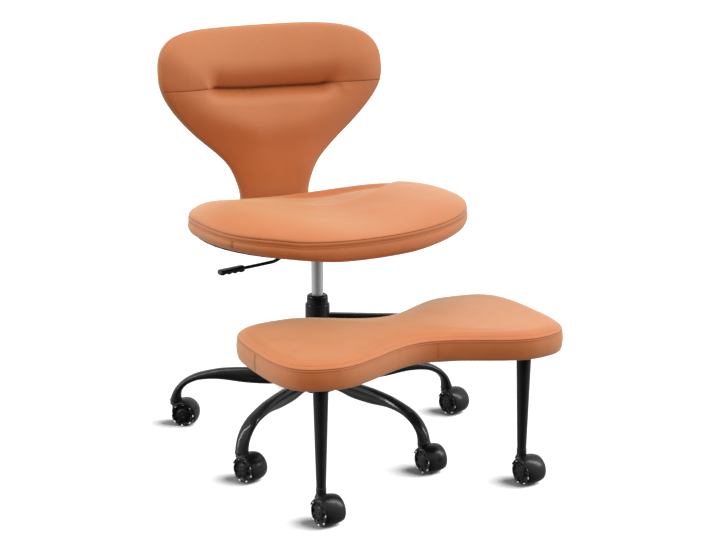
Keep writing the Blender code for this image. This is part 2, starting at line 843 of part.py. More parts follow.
def flat_bar(name, points):
    """Rectangular tube, level, through points in plan, up against the underside of the board."""
    height = FOOT_BOARD_Z[0] - 0.0004 - ARM_HALF_H
    rings = []
    for k, point in enumerate(points):
        along = (points[min(k + 1, len(points) - 1)] - points[max(k - 1, 0)]).normalized()
        side = Vector((along.y, -along.x, 0.0))
        ring = []
        for t in (math.tau * (i + 0.5) / 8 for i in range(8)):
            spot = point + side * (ARM_HALF_W * power(math.cos(t), 0.45))
            ring.append((spot.x, spot.y, height + ARM_HALF_H * power(math.sin(t), 0.45)))
        rings.append(ring)
    return finish_mesh(name, loft(rings))


def bend(a, b, c, steps):
    """Points from a to c round the corner b."""
    return [
        a * (1 - t) ** 2 + b * 2 * t * (1 - t) + c * t**2 for t in (k / steps for k in range(steps + 1))
    ]


def arm_points():
    """Arm: leaves the sleeve sideways, then runs forward under one lobe to its leg."""
    control = [
        Vector((0.0255, -0.0155, 0.0)),
        Vector((0.125, -0.078, 0.0)),
        Vector((0.262, -0.150, 0.0)),
        Vector((FOOT_LEG_X, -0.330, 0.0)),
        Vector((FOOT_LEG_X, FOOT_LEG_Y + 0.032, 0.0)),
    ]
    # the sleeve end is clear of the sleeve's wall
    start = control[0].normalized() * (SLEEVE_R + 0.0006)
    return [start, control[1] * 0.62] + bend(control[1], control[2], control[3], 8) + [control[4]]


def cross_bar_points():
    """Cross bar: from the arm under the waist of the board, then forward to the other leg."""
    return (
        [Vector((FOOT_LEG_X - ARM_HALF_W - 0.0004, CROSS_BAR_Y, 0.0))]
        + bend(
            Vector((-FOOT_LEG_X + 0.060, CROSS_BAR_Y, 0.0)),
            Vector((-FOOT_LEG_X, CROSS_BAR_Y, 0.0)),
            Vector((-FOOT_LEG_X, CROSS_BAR_Y - 0.060, 0.0)),
            6,
        )
        + [Vector((-FOOT_LEG_X, FOOT_LEG_Y + 0.032, 0.0))]
    )


place("footrest_arm", flat_bar("footrest_arm", arm_points()), "black_steel", footrest_frame)
place("footrest_cross_bar", flat_bar("footrest_cross_bar", cross_bar_points()), "black_steel", footrest_frame)


def foot_leg_mesh(name, x):
    top = FOOT_BOARD_Z[0] - 0.0004
    profile = [
        (0.0, LEG_BORE_TOP),
        (LEG_BORE, LEG_BORE_TOP),
        (LEG_BORE, LEG_END_Z),
        (FOOT_LEG_END_R + 0.0010, LEG_END_Z),
        (FOOT_LEG_END_R + 0.0010, LEG_END_Z + 0.012),
        (FOOT_LEG_END_R, LEG_END_Z + 0.0125),
        (FOOT_LEG_TOP_R, top - 0.006),
        (0.0300, top - 0.004),
        (0.0300, top),
        (0.0, top),
    ]
    return finish_mesh(name, lathe(profile, 20, centre=(x, FOOT_LEG_Y)))


for side_name, sign, swivel in (("left", -1, FOOT_SWIVELS[0]), ("right", 1, FOOT_SWIVELS[1])):
    place(
        f"footrest_leg_{side_name}",
        foot_leg_mesh(f"footrest_leg_{side_name}", sign * FOOT_LEG_X),
        "black_steel",
        footrest_frame,
    )
    caster(f"footrest_caster_{side_name}", sign * FOOT_LEG_X, FOOT_LEG_Y, swivel, footrest_frame)
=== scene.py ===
"""Looks of the cross-legged office chair: upholstered seat, back and footrest with seams and stitching, pressed
steel base, gas lift, height lever and hooded twin-wheel casters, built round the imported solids.

Shapes are written in the column frame of the part (origin on the column axis, sitter faces -Y) and shifted into the
row frame. Lengths are in metres.
"""

import json
import math

import bmesh
import bpy
import numpy as np
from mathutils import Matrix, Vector, noise


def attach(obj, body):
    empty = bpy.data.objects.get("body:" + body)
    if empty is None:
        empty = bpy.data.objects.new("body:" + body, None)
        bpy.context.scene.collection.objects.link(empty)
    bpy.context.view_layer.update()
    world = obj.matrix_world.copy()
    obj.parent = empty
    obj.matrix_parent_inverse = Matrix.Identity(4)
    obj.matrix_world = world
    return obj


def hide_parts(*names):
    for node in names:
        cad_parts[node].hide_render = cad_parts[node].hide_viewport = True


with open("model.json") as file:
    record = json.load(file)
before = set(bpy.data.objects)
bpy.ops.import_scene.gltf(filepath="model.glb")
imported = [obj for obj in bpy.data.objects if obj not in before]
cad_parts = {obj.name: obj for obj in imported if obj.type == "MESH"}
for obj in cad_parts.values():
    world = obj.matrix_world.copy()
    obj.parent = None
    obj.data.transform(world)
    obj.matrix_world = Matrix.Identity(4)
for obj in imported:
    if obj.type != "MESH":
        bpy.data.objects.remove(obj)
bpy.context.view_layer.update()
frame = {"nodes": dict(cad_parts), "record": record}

SHIFT = np.array((-0.02552, 0.11506, -0.0115))
scene = bpy.context.scene

# ------------------------------------------------------------------ camera, stage and light
camera_data = bpy.data.cameras.new("photo_camera")
camera_data.sensor_fit = "HORIZONTAL"
camera_data.sensor_width = 36.0
camera_data.lens = 91.46
camera_data.clip_start, camera_data.clip_end = 0.05, 200.0
camera = bpy.data.objects.new("photo_camera", camera_data)
scene.collection.objects.link(camera)
camera.location = (-1.90637, -3.55566, 1.46471)
camera.rotation_euler = (math.radians(90.0 - 14.513), 0.0, math.radians(-28.456))
scene.camera = camera
scene.view_settings.view_transform = "Standard"


def nodes_of(material):
    material.use_nodes = True
    tree = material.node_tree
    return tree, tree.nodes, tree.links


def make_world():
    """Studio surround: a broad soft key on one side, a fill on the other, pale walls, a dim corner low in front."""
    world = bpy.data.worlds.new("studio")
    scene.world = world
    world.use_nodes = True
    tree = world.node_tree
    tree.nodes.clear()
    out = tree.nodes.new("ShaderNodeOutputWorld")
    back = tree.nodes.new("ShaderNodeBackground")
    where = tree.nodes.new("ShaderNodeTexCoord")

    def lobe(direction, start, end, low, high):
        aim = Vector(direction).normalized()
        along = tree.nodes.new("ShaderNodeVectorMath")
        along.operation = "DOT_PRODUCT"
        along.inputs[1].default_value = aim
        made = tree.nodes.new("ShaderNodeMapRange")
        made.interpolation_type = "SMOOTHSTEP"
        for name, value in (("From Min", start), ("From Max", end), ("To Min", low), ("To Max", high)):
            made.inputs[name].default_value = value
        tree.links.new(where.outputs["Generated"], along.inputs[0])
        tree.links.new(along.outputs["Value"], made.inputs["Value"])
        return made.outputs["Result"]

    def joined(operation, a, b):
        made = tree.nodes.new("ShaderNodeMath")
        made.operation = operation
        tree.links.new(a, made.inputs[0])
        tree.links.new(b, made.inputs[1])
        return made.outputs["Value"]

    rise = lobe((0.0, 0.0, 1.0), -0.75, 0.45, WORLD_LOW, WORLD_HIGH)
    key = lobe((0.470, -0.700, 0.450), 0.172, 0.95, 0.0, WORLD_KEY)
    fill = lobe((-0.880, -0.120, 0.330), 0.164, 0.95, 0.0, WORLD_FILL)
    dim = lobe((-0.430, -0.800, -0.300), -0.387, 2.386, 1.0, WORLD_DIM)
    lit = joined("ADD", joined("ADD", rise, key), fill)
    tree.links.new(joined("MULTIPLY", lit, dim), back.inputs["Strength"])
    back.inputs["Color"].default_value = (1.0, 0.995, 0.985, 1.0)
    tree.links.new(back.outputs["Background"], out.inputs["Surface"])


WORLD_LOW, WORLD_HIGH, WORLD_KEY, WORLD_FILL, WORLD_DIM = 0.54, 1.03, 1.20, 1.07, -0.98
make_world()


def sun(name, strength, angle, aim):
    data = bpy.data.lights.new(name, "SUN")
    data.energy = strength
    data.angle = math.radians(angle)
    made = bpy.data.objects.new(name, data)
    scene.collection.objects.link(made)
    made.rotation_mode = "QUATERNION"
    made.rotation_quaternion = Vector(aim).to_track_quat("-Z", "Y")
    return made


def make_floor():
    bm = bmesh.new()
    bmesh.ops.create_grid(bm, x_segments=2, y_segments=2, size=60.0)
    mesh = bpy.data.meshes.new("studio_floor")
    bm.to_mesh(mesh)
    bm.free()
    floor = bpy.data.objects.new("studio_floor", mesh)
    scene.collection.objects.link(floor)
    floor.location.z = -0.0006
    floor.visible_diffuse = False
    floor.visible_glossy = False
    made = bpy.data.materials.new("studio_floor")
    tree, nodes, links = nodes_of(made)
    shader = nodes["Principled BSDF"]
    shader.inputs["Base Color"].default_value = (0.24, 0.24, 0.24, 1.0)
    shader.inputs["Roughness"].default_value = 0.85
    shader.inputs["Specular IOR Level"].default_value = 0.1
    mesh.materials.append(made)
    return floor


floor = make_floor()
# soft light from the side that only the floor takes: the casters are what throws a shadow in it
floor_light = sun("floor_light", 18.5, 46.0, (-0.879, 0.477, -1.05))
floor_only = bpy.data.collections.new("floor_only")
floor_only.objects.link(floor)
floor_light.light_linking.receiver_collection = floor_only
shadow_makers = bpy.data.collections.new("floor_shadow_makers")
floor_light.light_linking.blocker_collection = shadow_makers


def strip(name, spot, aim, width, length, radiance, takers):
    """Long soft box that only the black pieces take."""
    data = bpy.data.lights.new(name, "AREA")
    data.shape = "RECTANGLE"
    data.size, data.size_y = width, length
    data.energy = radiance * math.pi * width * length
    made = bpy.data.objects.new(name, data)
    scene.collection.objects.link(made)
    made.location = spot
    made.rotation_mode = "QUATERNION"
    made.rotation_quaternion = (Vector(aim) - Vector(spot)).to_track_quat("-Z", "Y")
    made.light_linking.receiver_collection = takers
    return made


gloss_takers = bpy.data.collections.new("gloss_takers")
strip("strip_right", (1.7, -0.9, 2.2), (0.0, 0.0, 0.2), 0.16, 3.6, 64.0, gloss_takers)
strip("strip_left", (-1.9, 0.7, 1.9), (0.0, 0.0, 0.2), 0.16, 3.6, 56.0, gloss_takers)

# ------------------------------------------------------------------ materials


def new_material(name):
    made = bpy.data.materials.new(name)
    tree, nodes, links = nodes_of(made)
    return made, nodes, links, nodes["Principled BSDF"]


def object_coordinates(nodes):
    return nodes.new("ShaderNodeTexCoord").outputs["Object"]


def noise_texture(nodes, links, where, scale, detail=3.0, rough=0.5):
    made = nodes.new("ShaderNodeTexNoise")
    made.inputs["Scale"].default_value = scale
    made.inputs["Detail"].default_value = detail
    made.inputs["Roughness"].default_value = rough
    links.new(where, made.inputs["Vector"])
    return made.outputs["Fac"]


def ramp(nodes, links, value, stops):
    made = nodes.new("ShaderNodeValToRGB")
    while len(made.color_ramp.elements) < len(stops):
        made.color_ramp.elements.new(0.5)
    for element, (at, colour) in zip(made.color_ramp.elements, stops):
        element.position = at
        element.color = colour if len(colour) == 4 else (*colour, 1.0)
    links.new(value, made.inputs["Fac"])
    return made.outputs["Color"]


def mapped(nodes, links, value, low, high, start=0.0, end=1.0):
    made = nodes.new("ShaderNodeMapRange")
    made.inputs["From Min"].default_value = start
    made.inputs["From Max"].default_value = end
    made.inputs["To Min"].default_value = low
    made.inputs["To Max"].default_value = high
    links.new(value, made.inputs["Value"])
    return made.outputs["Result"]


def math_node(nodes, links, operation, a, b):
    made = nodes.new("ShaderNodeMath")
    made.operation = operation
    for socket, value in zip(made.inputs, (a, b)):
        if isinstance(value, (int, float)):
            socket.default_value = value
        else:
            links.new(value, socket)
    return made.outputs["Value"]


def bump(nodes, links, height, strength, distance, normal=None):
    made = nodes.new("ShaderNodeBump")
    made.inputs["Strength"].default_value = strength
    made.inputs["Distance"].default_value = distance
    links.new(height, made.inputs["Height"])
    if normal is not None:
        links.new(normal, made.inputs["Normal"])
    return made.outputs["Normal"]


def leather_material(name):
    """Smooth coated leather: pebble grain about a millimetre across, soft tone drift; colour darkened at the seam
    joints, partly as painted shade in their grooves, and painted shade in the back's tucked crease, with less specular
    and sheen there.
    """
    made, nodes, links, shader = new_material(name)
    where = object_coordinates(nodes)
    broad = noise_texture(nodes, links, where, 5.0, 3.0, 0.55)
    patch = noise_texture(nodes, links, where, 38.0, 4.0, 0.6)
    tone = ramp(
        nodes,
        links,
        broad,
        ((0.30, (0.508, 0.122, 0.027)), (0.52, (0.525, 0.129, 0.030)), (0.72, (0.542, 0.137, 0.034))),
    )
    fleck = mapped(nodes, links, patch, 0.955, 1.035, 0.3, 0.7)
    shaded = nodes.new("ShaderNodeVectorMath")
    shaded.operation = "SCALE"
    links.new(tone, shaded.inputs[0])
    # seam attribute: darkens the colour at the seam joints, partly as painted shade in their grooves, and paints shade
    # into the tucked crease of the back
    seam = nodes.new("ShaderNodeAttribute")
    seam.attribute_name = "seam"
    dark = mapped(nodes, links, seam.outputs["Fac"], 1.0, 0.46)
    links.new(math_node(nodes, links, "MULTIPLY", fleck, dark), shaded.inputs["Scale"])
    links.new(shaded.outputs["Vector"], shader.inputs["Base Color"])
    pebble = nodes.new("ShaderNodeTexVoronoi")
    pebble.feature = "SMOOTH_F1"
    pebble.inputs["Scale"].default_value = 820.0
    pebble.inputs["Smoothness"].default_value = 0.35
    links.new(where, pebble.inputs["Vector"])
    fine = noise_texture(nodes, links, where, 2300.0, 2.0, 0.5)
    grain = math_node(nodes, links, "ADD", pebble.outputs["Distance"], math_node(nodes, links, "MULTIPLY", fine, 0.35))
    links.new(bump(nodes, links, grain, 0.16, 0.0004), shader.inputs["Normal"])
    sheen = mapped(nodes, links, patch, 0.40, 0.52, 0.3, 0.7)
    links.new(sheen, shader.inputs["Roughness"])
    # the same painted shade turns down specular and sheen in the seams and the crease
    links.new(mapped(nodes, links, seam.outputs["Fac"], 0.85, 0.15), shader.inputs["Specular IOR Level"])
    shader.inputs["Specular Tint"].default_value = (0.97, 1.0, 0.70, 1.0)
    links.new(mapped(nodes, links, seam.outputs["Fac"], 0.44, 0.0), shader.inputs["Sheen Weight"])
    shader.inputs["Sheen Roughness"].default_value = 0.45
    shader.inputs["Sheen Tint"].default_value = (1.0, 0.98, 0.62, 1.0)
    return made


def thread_material(name):
    """Twisted polyester thread."""
    made, nodes, links, shader = new_material(name)
    where = object_coordinates(nodes)
    twist = nodes.new("ShaderNodeTexWave")
    twist.inputs["Scale"].default_value = 900.0
    twist.inputs["Distortion"].default_value = 1.2
    links.new(where, twist.inputs["Vector"])
    links.new(
        ramp(nodes, links, twist.outputs["Fac"], ((0.0, (0.390, 0.096, 0.025)), (1.0, (0.500, 0.132, 0.036)))),
        shader.inputs["Base Color"],
    )
    links.new(bump(nodes, links, twist.outputs["Fac"], 0.4, 0.0002), shader.inputs["Normal"])
    links.new(mapped(nodes, links, twist.outputs["Fac"], 0.45, 0.6), shader.inputs["Roughness"])
    return made


def coated_steel(name, low=0.10, high=0.16, tone=0.0105):
    """Black powder coat: faint orange peel, slightly uneven gloss, thin dust on it."""
    made, nodes, links, shader = new_material(name)
    where = object_coordinates(nodes)
    cloud = noise_texture(nodes, links, where, 24.0, 4.0, 0.6)
    peel = noise_texture(nodes, links, where, 620.0, 2.0, 0.5)
    speck = noise_texture(nodes, links, where, 1900.0, 2.0, 0.6)
    links.new(
        ramp(
            nodes,
            links,
            cloud,
            ((0.3, (tone * 0.85, tone * 0.85, tone * 0.9)), (0.75, (tone * 1.35, tone * 1.35, tone * 1.4))),
        ),
        shader.inputs["Base Color"],
    )
    gloss = mapped(nodes, links, cloud, low, high, 0.3, 0.7)
    links.new(
        math_node(nodes, links, "ADD", gloss, mapped(nodes, links, speck, -0.03, 0.05, 0.35, 0.7)),
        shader.inputs["Roughness"],
    )
    links.new(bump(nodes, links, peel, 0.10, 0.0003), shader.inputs["Normal"])
    shader.inputs["Metallic"].default_value = 0.0
    shader.inputs["Specular IOR Level"].default_value = 0.14
    return made


def moulded_plastic(name, low=0.22, high=0.32, grain=0.05, tone=0.0040):
    """Moulded black nylon: fine spark texture and small scuffs."""
    made, nodes, links, shader = new_material(name)
    where = object_coordinates(nodes)
    cloud = noise_texture(nodes, links, where, 55.0, 4.0, 0.6)
    spark = noise_texture(nodes, links, where, 1500.0, 2.0, 0.5)
    links.new(
        ramp(
            nodes,
            links,
            cloud,
            ((0.3, (tone * 0.9, tone * 0.9, tone * 0.95)), (0.75, (tone * 1.4, tone * 1.4, tone * 1.4))),
        ),
        shader.inputs["Base Color"],
    )
    links.new(mapped(nodes, links, cloud, low, high, 0.3, 0.7), shader.inputs["Roughness"])
    links.new(bump(nodes, links, spark, grain, 0.0003), shader.inputs["Normal"])
    shader.inputs["Specular IOR Level"].default_value = 0.15
    return made


def tread_rubber(name):
    """Hard tread: dull, with dust lodged in it."""
    made, nodes, links, shader = new_material(name)
    where = object_coordinates(nodes)
    dust = noise_texture(nodes, links, where, 140.0, 5.0, 0.65)
    links.new(
        ramp(nodes, links, dust, ((0.35, (0.006, 0.006, 0.006)), (0.62, (0.010, 0.010, 0.010)), (0.82, (0.026, 0.025, 0.024)))),
        shader.inputs["Base Color"],
    )
    links.new(mapped(nodes, links, dust, 0.32, 0.55, 0.3, 0.8), shader.inputs["Roughness"])
    links.new(bump(nodes, links, dust, 0.12, 0.0003), shader.inputs["Normal"])
    shader.inputs["Specular IOR Level"].default_value = 0.24
    return made


def bright_metal(name, colour, low, high, stretch=(1.0, 1.0, 60.0), strength=0.03):
    """Bright metal with fine drawn lines."""
    made, nodes, links, shader = new_material(name)
    where = object_coordinates(nodes)
    turned = nodes.new("ShaderNodeMapping")
    turned.inputs["Scale"].default_value = stretch
    links.new(where, turned.inputs["Vector"])
    line = noise_texture(nodes, links, turned.outputs["Vector"], 45.0, 4.0, 0.6)
    links.new(
        ramp(nodes, links, line, ((0.3, tuple(c * 0.90 for c in colour)), (0.75, colour))),
        shader.inputs["Base Color"],
    )
    links.new(mapped(nodes, links, line, low, high, 0.3, 0.7), shader.inputs["Roughness"])
    links.new(bump(nodes, links, line, strength, 0.0002), shader.inputs["Normal"])
    shader.inputs["Metallic"].default_value = 0.72
    return made


def felt_board(name):
    """Board faced with black non-woven cloth."""
    made, nodes, links, shader = new_material(name)
    where = object_coordinates(nodes)
    fibre = nodes.new("ShaderNodeTexVoronoi")
    fibre.feature = "DISTANCE_TO_EDGE"
    fibre.inputs["Scale"].default_value = 420.0
    links.new(where, fibre.inputs["Vector"])
    fuzz = noise_texture(nodes, links, where, 700.0, 4.0, 0.7)
    links.new(
        ramp(nodes, links, fuzz, ((0.3, (0.010, 0.010, 0.010)), (0.7, (0.026, 0.026, 0.027)))),
        shader.inputs["Base Color"],
    )
    links.new(
        bump(nodes, links, math_node(nodes, links, "ADD", fibre.outputs["Distance"], fuzz), 0.35, 0.0006),
        shader.inputs["Normal"],
    )
    links.new(mapped(nodes, links, fuzz, 0.75, 0.95), shader.inputs["Roughness"])
    shader.inputs["Specular IOR Level"].default_value = 0.25
    shader.inputs["Sheen Weight"].default_value = 0.15
    return made


LEATHER = leather_material("tan_leather")
THREAD = thread_material("tan_thread")
STEEL = coated_steel("black_powder_coat")
PLASTIC = moulded_plastic("black_nylon")
HANDLE = moulded_plastic("black_handle_plastic", 0.30, 0.42, 0.08, 0.007)
# pale plastic for the wheel studs: a painted glint
PALE_GLINT_PAINT = moulded_plastic("pale_painted_glint", 0.20, 0.30, 0.02, 0.70)
TREAD = tread_rubber("black_tread")
CHROME = bright_metal("polished_chrome", (0.69, 0.69, 0.71), 0.58, 0.66, (40.0, 40.0, 1.0))
ZINC = bright_metal("zinc_steel", (0.58, 0.58, 0.60), 0.26, 0.40)
BLACK_BOLT = coated_steel("black_oxide_bolt", 0.34, 0.46, 0.010)
BOARD = felt_board("black_felt_board")

# ------------------------------------------------------------------ mesh helpers


def smoothstep(x):
    x = np.clip(x, 0.0, 1.0)
    return x * x * (3.0 - 2.0 * x)


def signed_power(value, exponent):
    return np.sign(value) * np.abs(value) ** exponent


class Shape:
    """Points and faces gathered from several parts, with an optional seam-and-shade value per point (seam darkening and
    painted shade) and a material per face.
    """

    def __init__(self):
        self.points, self.faces, self.seam, self.slots = [], [], [], []

    def add(self, points, faces, seam=None, slot=0):
        start = len(self.points)
        points = np.asarray(points, float).reshape(-1, 3)
        self.points.extend(map(tuple, points))
        self.seam.extend(np.zeros(len(points)) if seam is None else np.asarray(seam, float).ravel())
        self.faces.extend(tuple(int(i) + start for i in f) for f in faces)
        self.slots.extend([slot] * len(faces))
        return start


def ring_faces(rings, sides, closed=False):
    """Quads between consecutive rings of the same number of points."""
    faces = []
    for r in range(rings if closed else rings - 1):
        a, b = r * sides, ((r + 1) % rings) * sides
        for k in range(sides):
            m = (k + 1) % sides
            faces.append((a + k, a + m, b + m, b + k))
    return faces


def skin(rings, first_pole=None, last_pole=None, closed=False):
    """(points, faces) of a closed or pole-capped skin over rings, an array of rings x sides x 3."""
    rings = np.asarray(rings, float)
    count, sides = rings.shape[:2]
    points = [rings.reshape(-1, 3)]
    faces = ring_faces(count, sides, closed)
    total = count * sides
    if first_pole is not None:
        points.append(np.asarray(first_pole, float).reshape(1, 3))
        faces += [(total, (k + 1) % sides, k) for k in range(sides)]
        total += 1
    if last_pole is not None:
        points.append(np.asarray(last_pole, float).reshape(1, 3))
        base = (count - 1) * sides
        faces += [(total, base + k, base + (k + 1) % sides) for k in range(sides)]
    return np.concatenate(points), faces


def rounded(profile, radius, steps=4):
    """Rounds the inner corners of an open profile of (r, z) points. The radius may be a number or one per corner."""
    profile = [np.array(p, float) for p in profile]
    made = [profile[0]]
    for k in range(1, len(profile) - 1):
        r = radius[k - 1] if isinstance(radius, (list, tuple)) else radius
        before, at, after = profile[k - 1], profile[k], profile[k + 1]
        a, b = before - at, after - at
        la, lb = np.linalg.norm(a), np.linalg.norm(b)
        if r < 1e-6 or la < 1e-9 or lb < 1e-9:
            made.append(at)
            continue
        cut = min(r, 0.45 * la, 0.45 * lb)
        p, q = at + a / la * cut, at + b / lb * cut
        for i in range(steps + 1):
            t = i / steps
            made.append(p * (1 - t) ** 2 + at * 2 * t * (1 - t) + q * t**2)
    made.append(profile[-1])
    return made


def turned(profile, sides, centre=(0.0, 0.0), axis="Z"):
    """Lathe of an open profile whose ends lie on the axis, or of a loop that stays off it."""
    on_axis = profile[0][0] < 1e-7 and profile[-1][0] < 1e-7
    inner = profile[1:-1] if on_axis else profile
    angles = np.arange(sides) * math.tau / sides
    rings = []
    for r, z in inner:
        rings.append(
            np.stack([centre[0] + r * np.cos(angles), centre[1] + r * np.sin(angles), np.full(sides, z)], axis=1)
        )
    if on_axis:
        return skin(rings, (centre[0], centre[1], profile[0][1]), (centre[0], centre[1], profile[-1][1]))
    return skin(rings, closed=True)


def facing(points, direction, origin):
    """Turns points built along +Z so that +Z goes along direction, then moves them to origin."""
    turn = Vector((0.0, 0.0, 1.0)).rotation_difference(Vector(direction).normalized()).to_matrix()
    return np.asarray(points) @ np.array(turn).T + np.asarray(origin)


def finish_piece(name, shape, materials, body, replaces=(), angle=38.0, moved=True, recalc=True):
    points = np.asarray(shape.points) + (SHIFT if moved else 0.0)
    mesh = bpy.data.meshes.new(name)
    mesh.from_pydata(points.tolist(), [], shape.faces)
    for made in materials if isinstance(materials, (list, tuple)) else [materials]:
        mesh.materials.append(made)
    if any(shape.slots):
        mesh.polygons.foreach_set("material_index", shape.slots)
    if any(shape.seam):
        layer = mesh.attributes.new("seam", "FLOAT", "POINT")
        layer.data.foreach_set("value", np.asarray(shape.seam, np.float32))
    if recalc:
        bm = bmesh.new()
        bm.from_mesh(mesh)
        bmesh.ops.recalc_face_normals(bm, faces=bm.faces)
        bm.to_mesh(mesh)
        bm.free()
    mesh.shade_smooth()
    if angle is not None:
        mesh.set_sharp_from_angle(angle=math.radians(angle))
    mesh.update()
    made = bpy.data.objects.new(name, mesh)
    scene.collection.objects.link(made)
    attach(made, body)
    if mesh.materials[0] in (STEEL, PLASTIC, HANDLE):
        gloss_takers.objects.link(made)
    if replaces:
        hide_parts(*replaces)
    return made


def resample(points, count, closed=True):
    """Points at equal steps of length along a polyline."""
    points = np.asarray(points, float)
    if closed:
        points = np.vstack([points, points[:1]])
    run = np.concatenate([[0.0], np.cumsum(np.linalg.norm(np.diff(points, axis=0), axis=1))])
    goals = np.linspace(0.0, run[-1], count, endpoint=not closed)
    return np.stack([np.interp(goals, run, points[:, k]) for k in range(points.shape[1])], axis=1), run[-1]


def outward(points):
    """Outward unit normals of a closed anticlockwise outline in XY."""
    ahead = np.roll(points, -1, axis=0) - np.roll(points, 1, axis=0)
    made = np.stack([ahead[:, 1], -ahead[:, 0]], axis=1)
    return made / np.linalg.norm(made, axis=1, keepdims=True)


def wobble(points, scale, amount, seed=0.0):
    """Smooth noise at points, one value each."""
    return np.array([noise.noise(Vector((x * scale + seed, y * scale - seed, z * scale + 0.37 * seed))) for x, y, z in points]) * amount


STITCH_SIDES = 6


def stitch_shape(path, normals, pitch=0.0046, length=0.0034, radius=0.00042, closed=True):
    """Row of thread stitches that dip into the leather at both ends. Path and normals are arrays of points."""
    path, normals = np.asarray(path, float), np.asarray(normals, float)
    if closed:
        path, normals = np.vstack([path, path[:1]]), np.vstack([normals, normals[:1]])
    run = np.concatenate([[0.0], np.cumsum(np.linalg.norm(np.diff(path, axis=0), axis=1))])
    count = max(1, int(run[-1] // pitch))
    step = run[-1] / count
    shape = Shape()

    def at(goal):
        goal = np.clip(goal, 0.0, run[-1])
        spot = np.array([np.interp(goal, run, path[:, k]) for k in range(3)])
        up = np.array([np.interp(goal, run, normals[:, k]) for k in range(3)])
        return spot, up / max(np.linalg.norm(up), 1e-9)

    profile = ((-0.50, -1.1, 0.55), (-0.40, 0.15, 0.95), (-0.15, 0.75, 1.0), (0.15, 0.75, 1.0), (0.40, 0.15, 0.95), (0.50, -1.1, 0.55))
    turn = np.arange(STITCH_SIDES) * math.tau / STITCH_SIDES
    for k in range(count):
        middle = (k + 0.5) * step
        rings = []
        a, _ = at(middle - 0.5 * length)
        b, _ = at(middle + 0.5 * length)
        along = (b - a) / max(np.linalg.norm(b - a), 1e-9)
        for share, lift, wide in profile:
            spot, up = at(middle + share * length)
            side = np.cross(along, up)
            side /= max(np.linalg.norm(side), 1e-9)
            centre = spot + up * (lift * radius)
            rings.append(
                centre + np.outer(np.cos(turn), side) * radius * wide + np.outer(np.sin(turn), up) * radius * wide
            )
        rings = np.array(rings)
        points, faces = skin(rings, rings[0].mean(0), rings[-1].mean(0))
        shape.add(points, faces)
    return shape


# ------------------------------------------------------------------ seat cushion
SEAT_Y, SEAT_HALF_WIDTH, SEAT_HALF_DEPTH, SEAT_POWER = -0.0595, 0.3255, 0.235, 2.415
SEAT_SEAM_Z, SEAT_LOW = 0.551, 0.5068
SEAT_CROWN, SEAT_SIDE_CROWN = 0.0125, 0.0272
BASIN_DEPTH = 0.018


def seat_outline(count):
    t = np.arange(6000) * math.tau / 6000
    e = 2.0 / SEAT_POWER
    fine = np.stack(
        [SEAT_HALF_WIDTH * signed_power(np.cos(t), e), SEAT_Y + SEAT_HALF_DEPTH * signed_power(np.sin(t), e)], axis=1
    )
    fine[:, 0] = np.where(fine[:, 0] < 0.0, fine[:, 0] * 0.993, fine[:, 0])
    return resample(fine, count)[0]


def cradle(x):
    return 0.0215 * (np.maximum(0.0, np.abs(x) - 0.090) / 0.210) ** 1.4


def seam_rise(x, y):
    behind = (y - (SEAT_Y - SEAT_HALF_DEPTH)) / (2.0 * SEAT_HALF_DEPTH)
    return 0.016 * (x / 0.327) ** 2 + 0.003 * behind


def seam_sag(x):
    """How far the seam is pulled down by its band, a little more on one side."""
    return 0.0028 - 0.0122 * x - 0.0036 * smoothstep((-x - 0.170) / 0.065) - 0.0030 * smoothstep((-x - 0.300) / 0.026)


def seat_crown(x, y):
    return SEAT_CROWN + SEAT_SIDE_CROWN * 0.5 * (1.0 - np.cos(math.pi * np.minimum(1.0, np.abs(x) / 0.265)))


def front_drop(x):
    """The lower edge hangs a little deeper in the middle."""
    return 0.0062 * np.exp(-(((x + 0.02) / 0.150) ** 2))


def seat_basin(x, y):
    """Hollow behind the thighs: a firm step on one side of the middle, softer on the other, open to the rear."""
    reach = np.maximum(0.0, np.abs(x) - 0.105) / 0.088
    line = -0.014 + 0.027 * reach**1.8
    slope = 0.027 * 1.8 * reach**0.8 / 0.088
    side = smoothstep((x + 0.09) / 0.16)
    width = 0.155 + (0.046 - 0.155) * side
    depth = BASIN_DEPTH * (0.26 + 0.74 * smoothstep((x + 0.05) / 0.16))
    return depth * smoothstep((y - line) / np.sqrt(1.0 + slope**2) / width)


def upright_seams(outline, spots):
    """Strength of the seam at the outline points next to each spot, falling to 0 within a few millimetres."""
    count = len(outline)
    made = np.zeros(count)
    for x, y, strength in spots:
        spot = np.argmin(np.hypot(outline[:, 0] - x, outline[:, 1] - y))
        away = np.abs((np.arange(count) - spot + count // 2) % count - count // 2)
        made = np.maximum(made, strength * np.exp(-((away / 0.75) ** 2)))
    return made


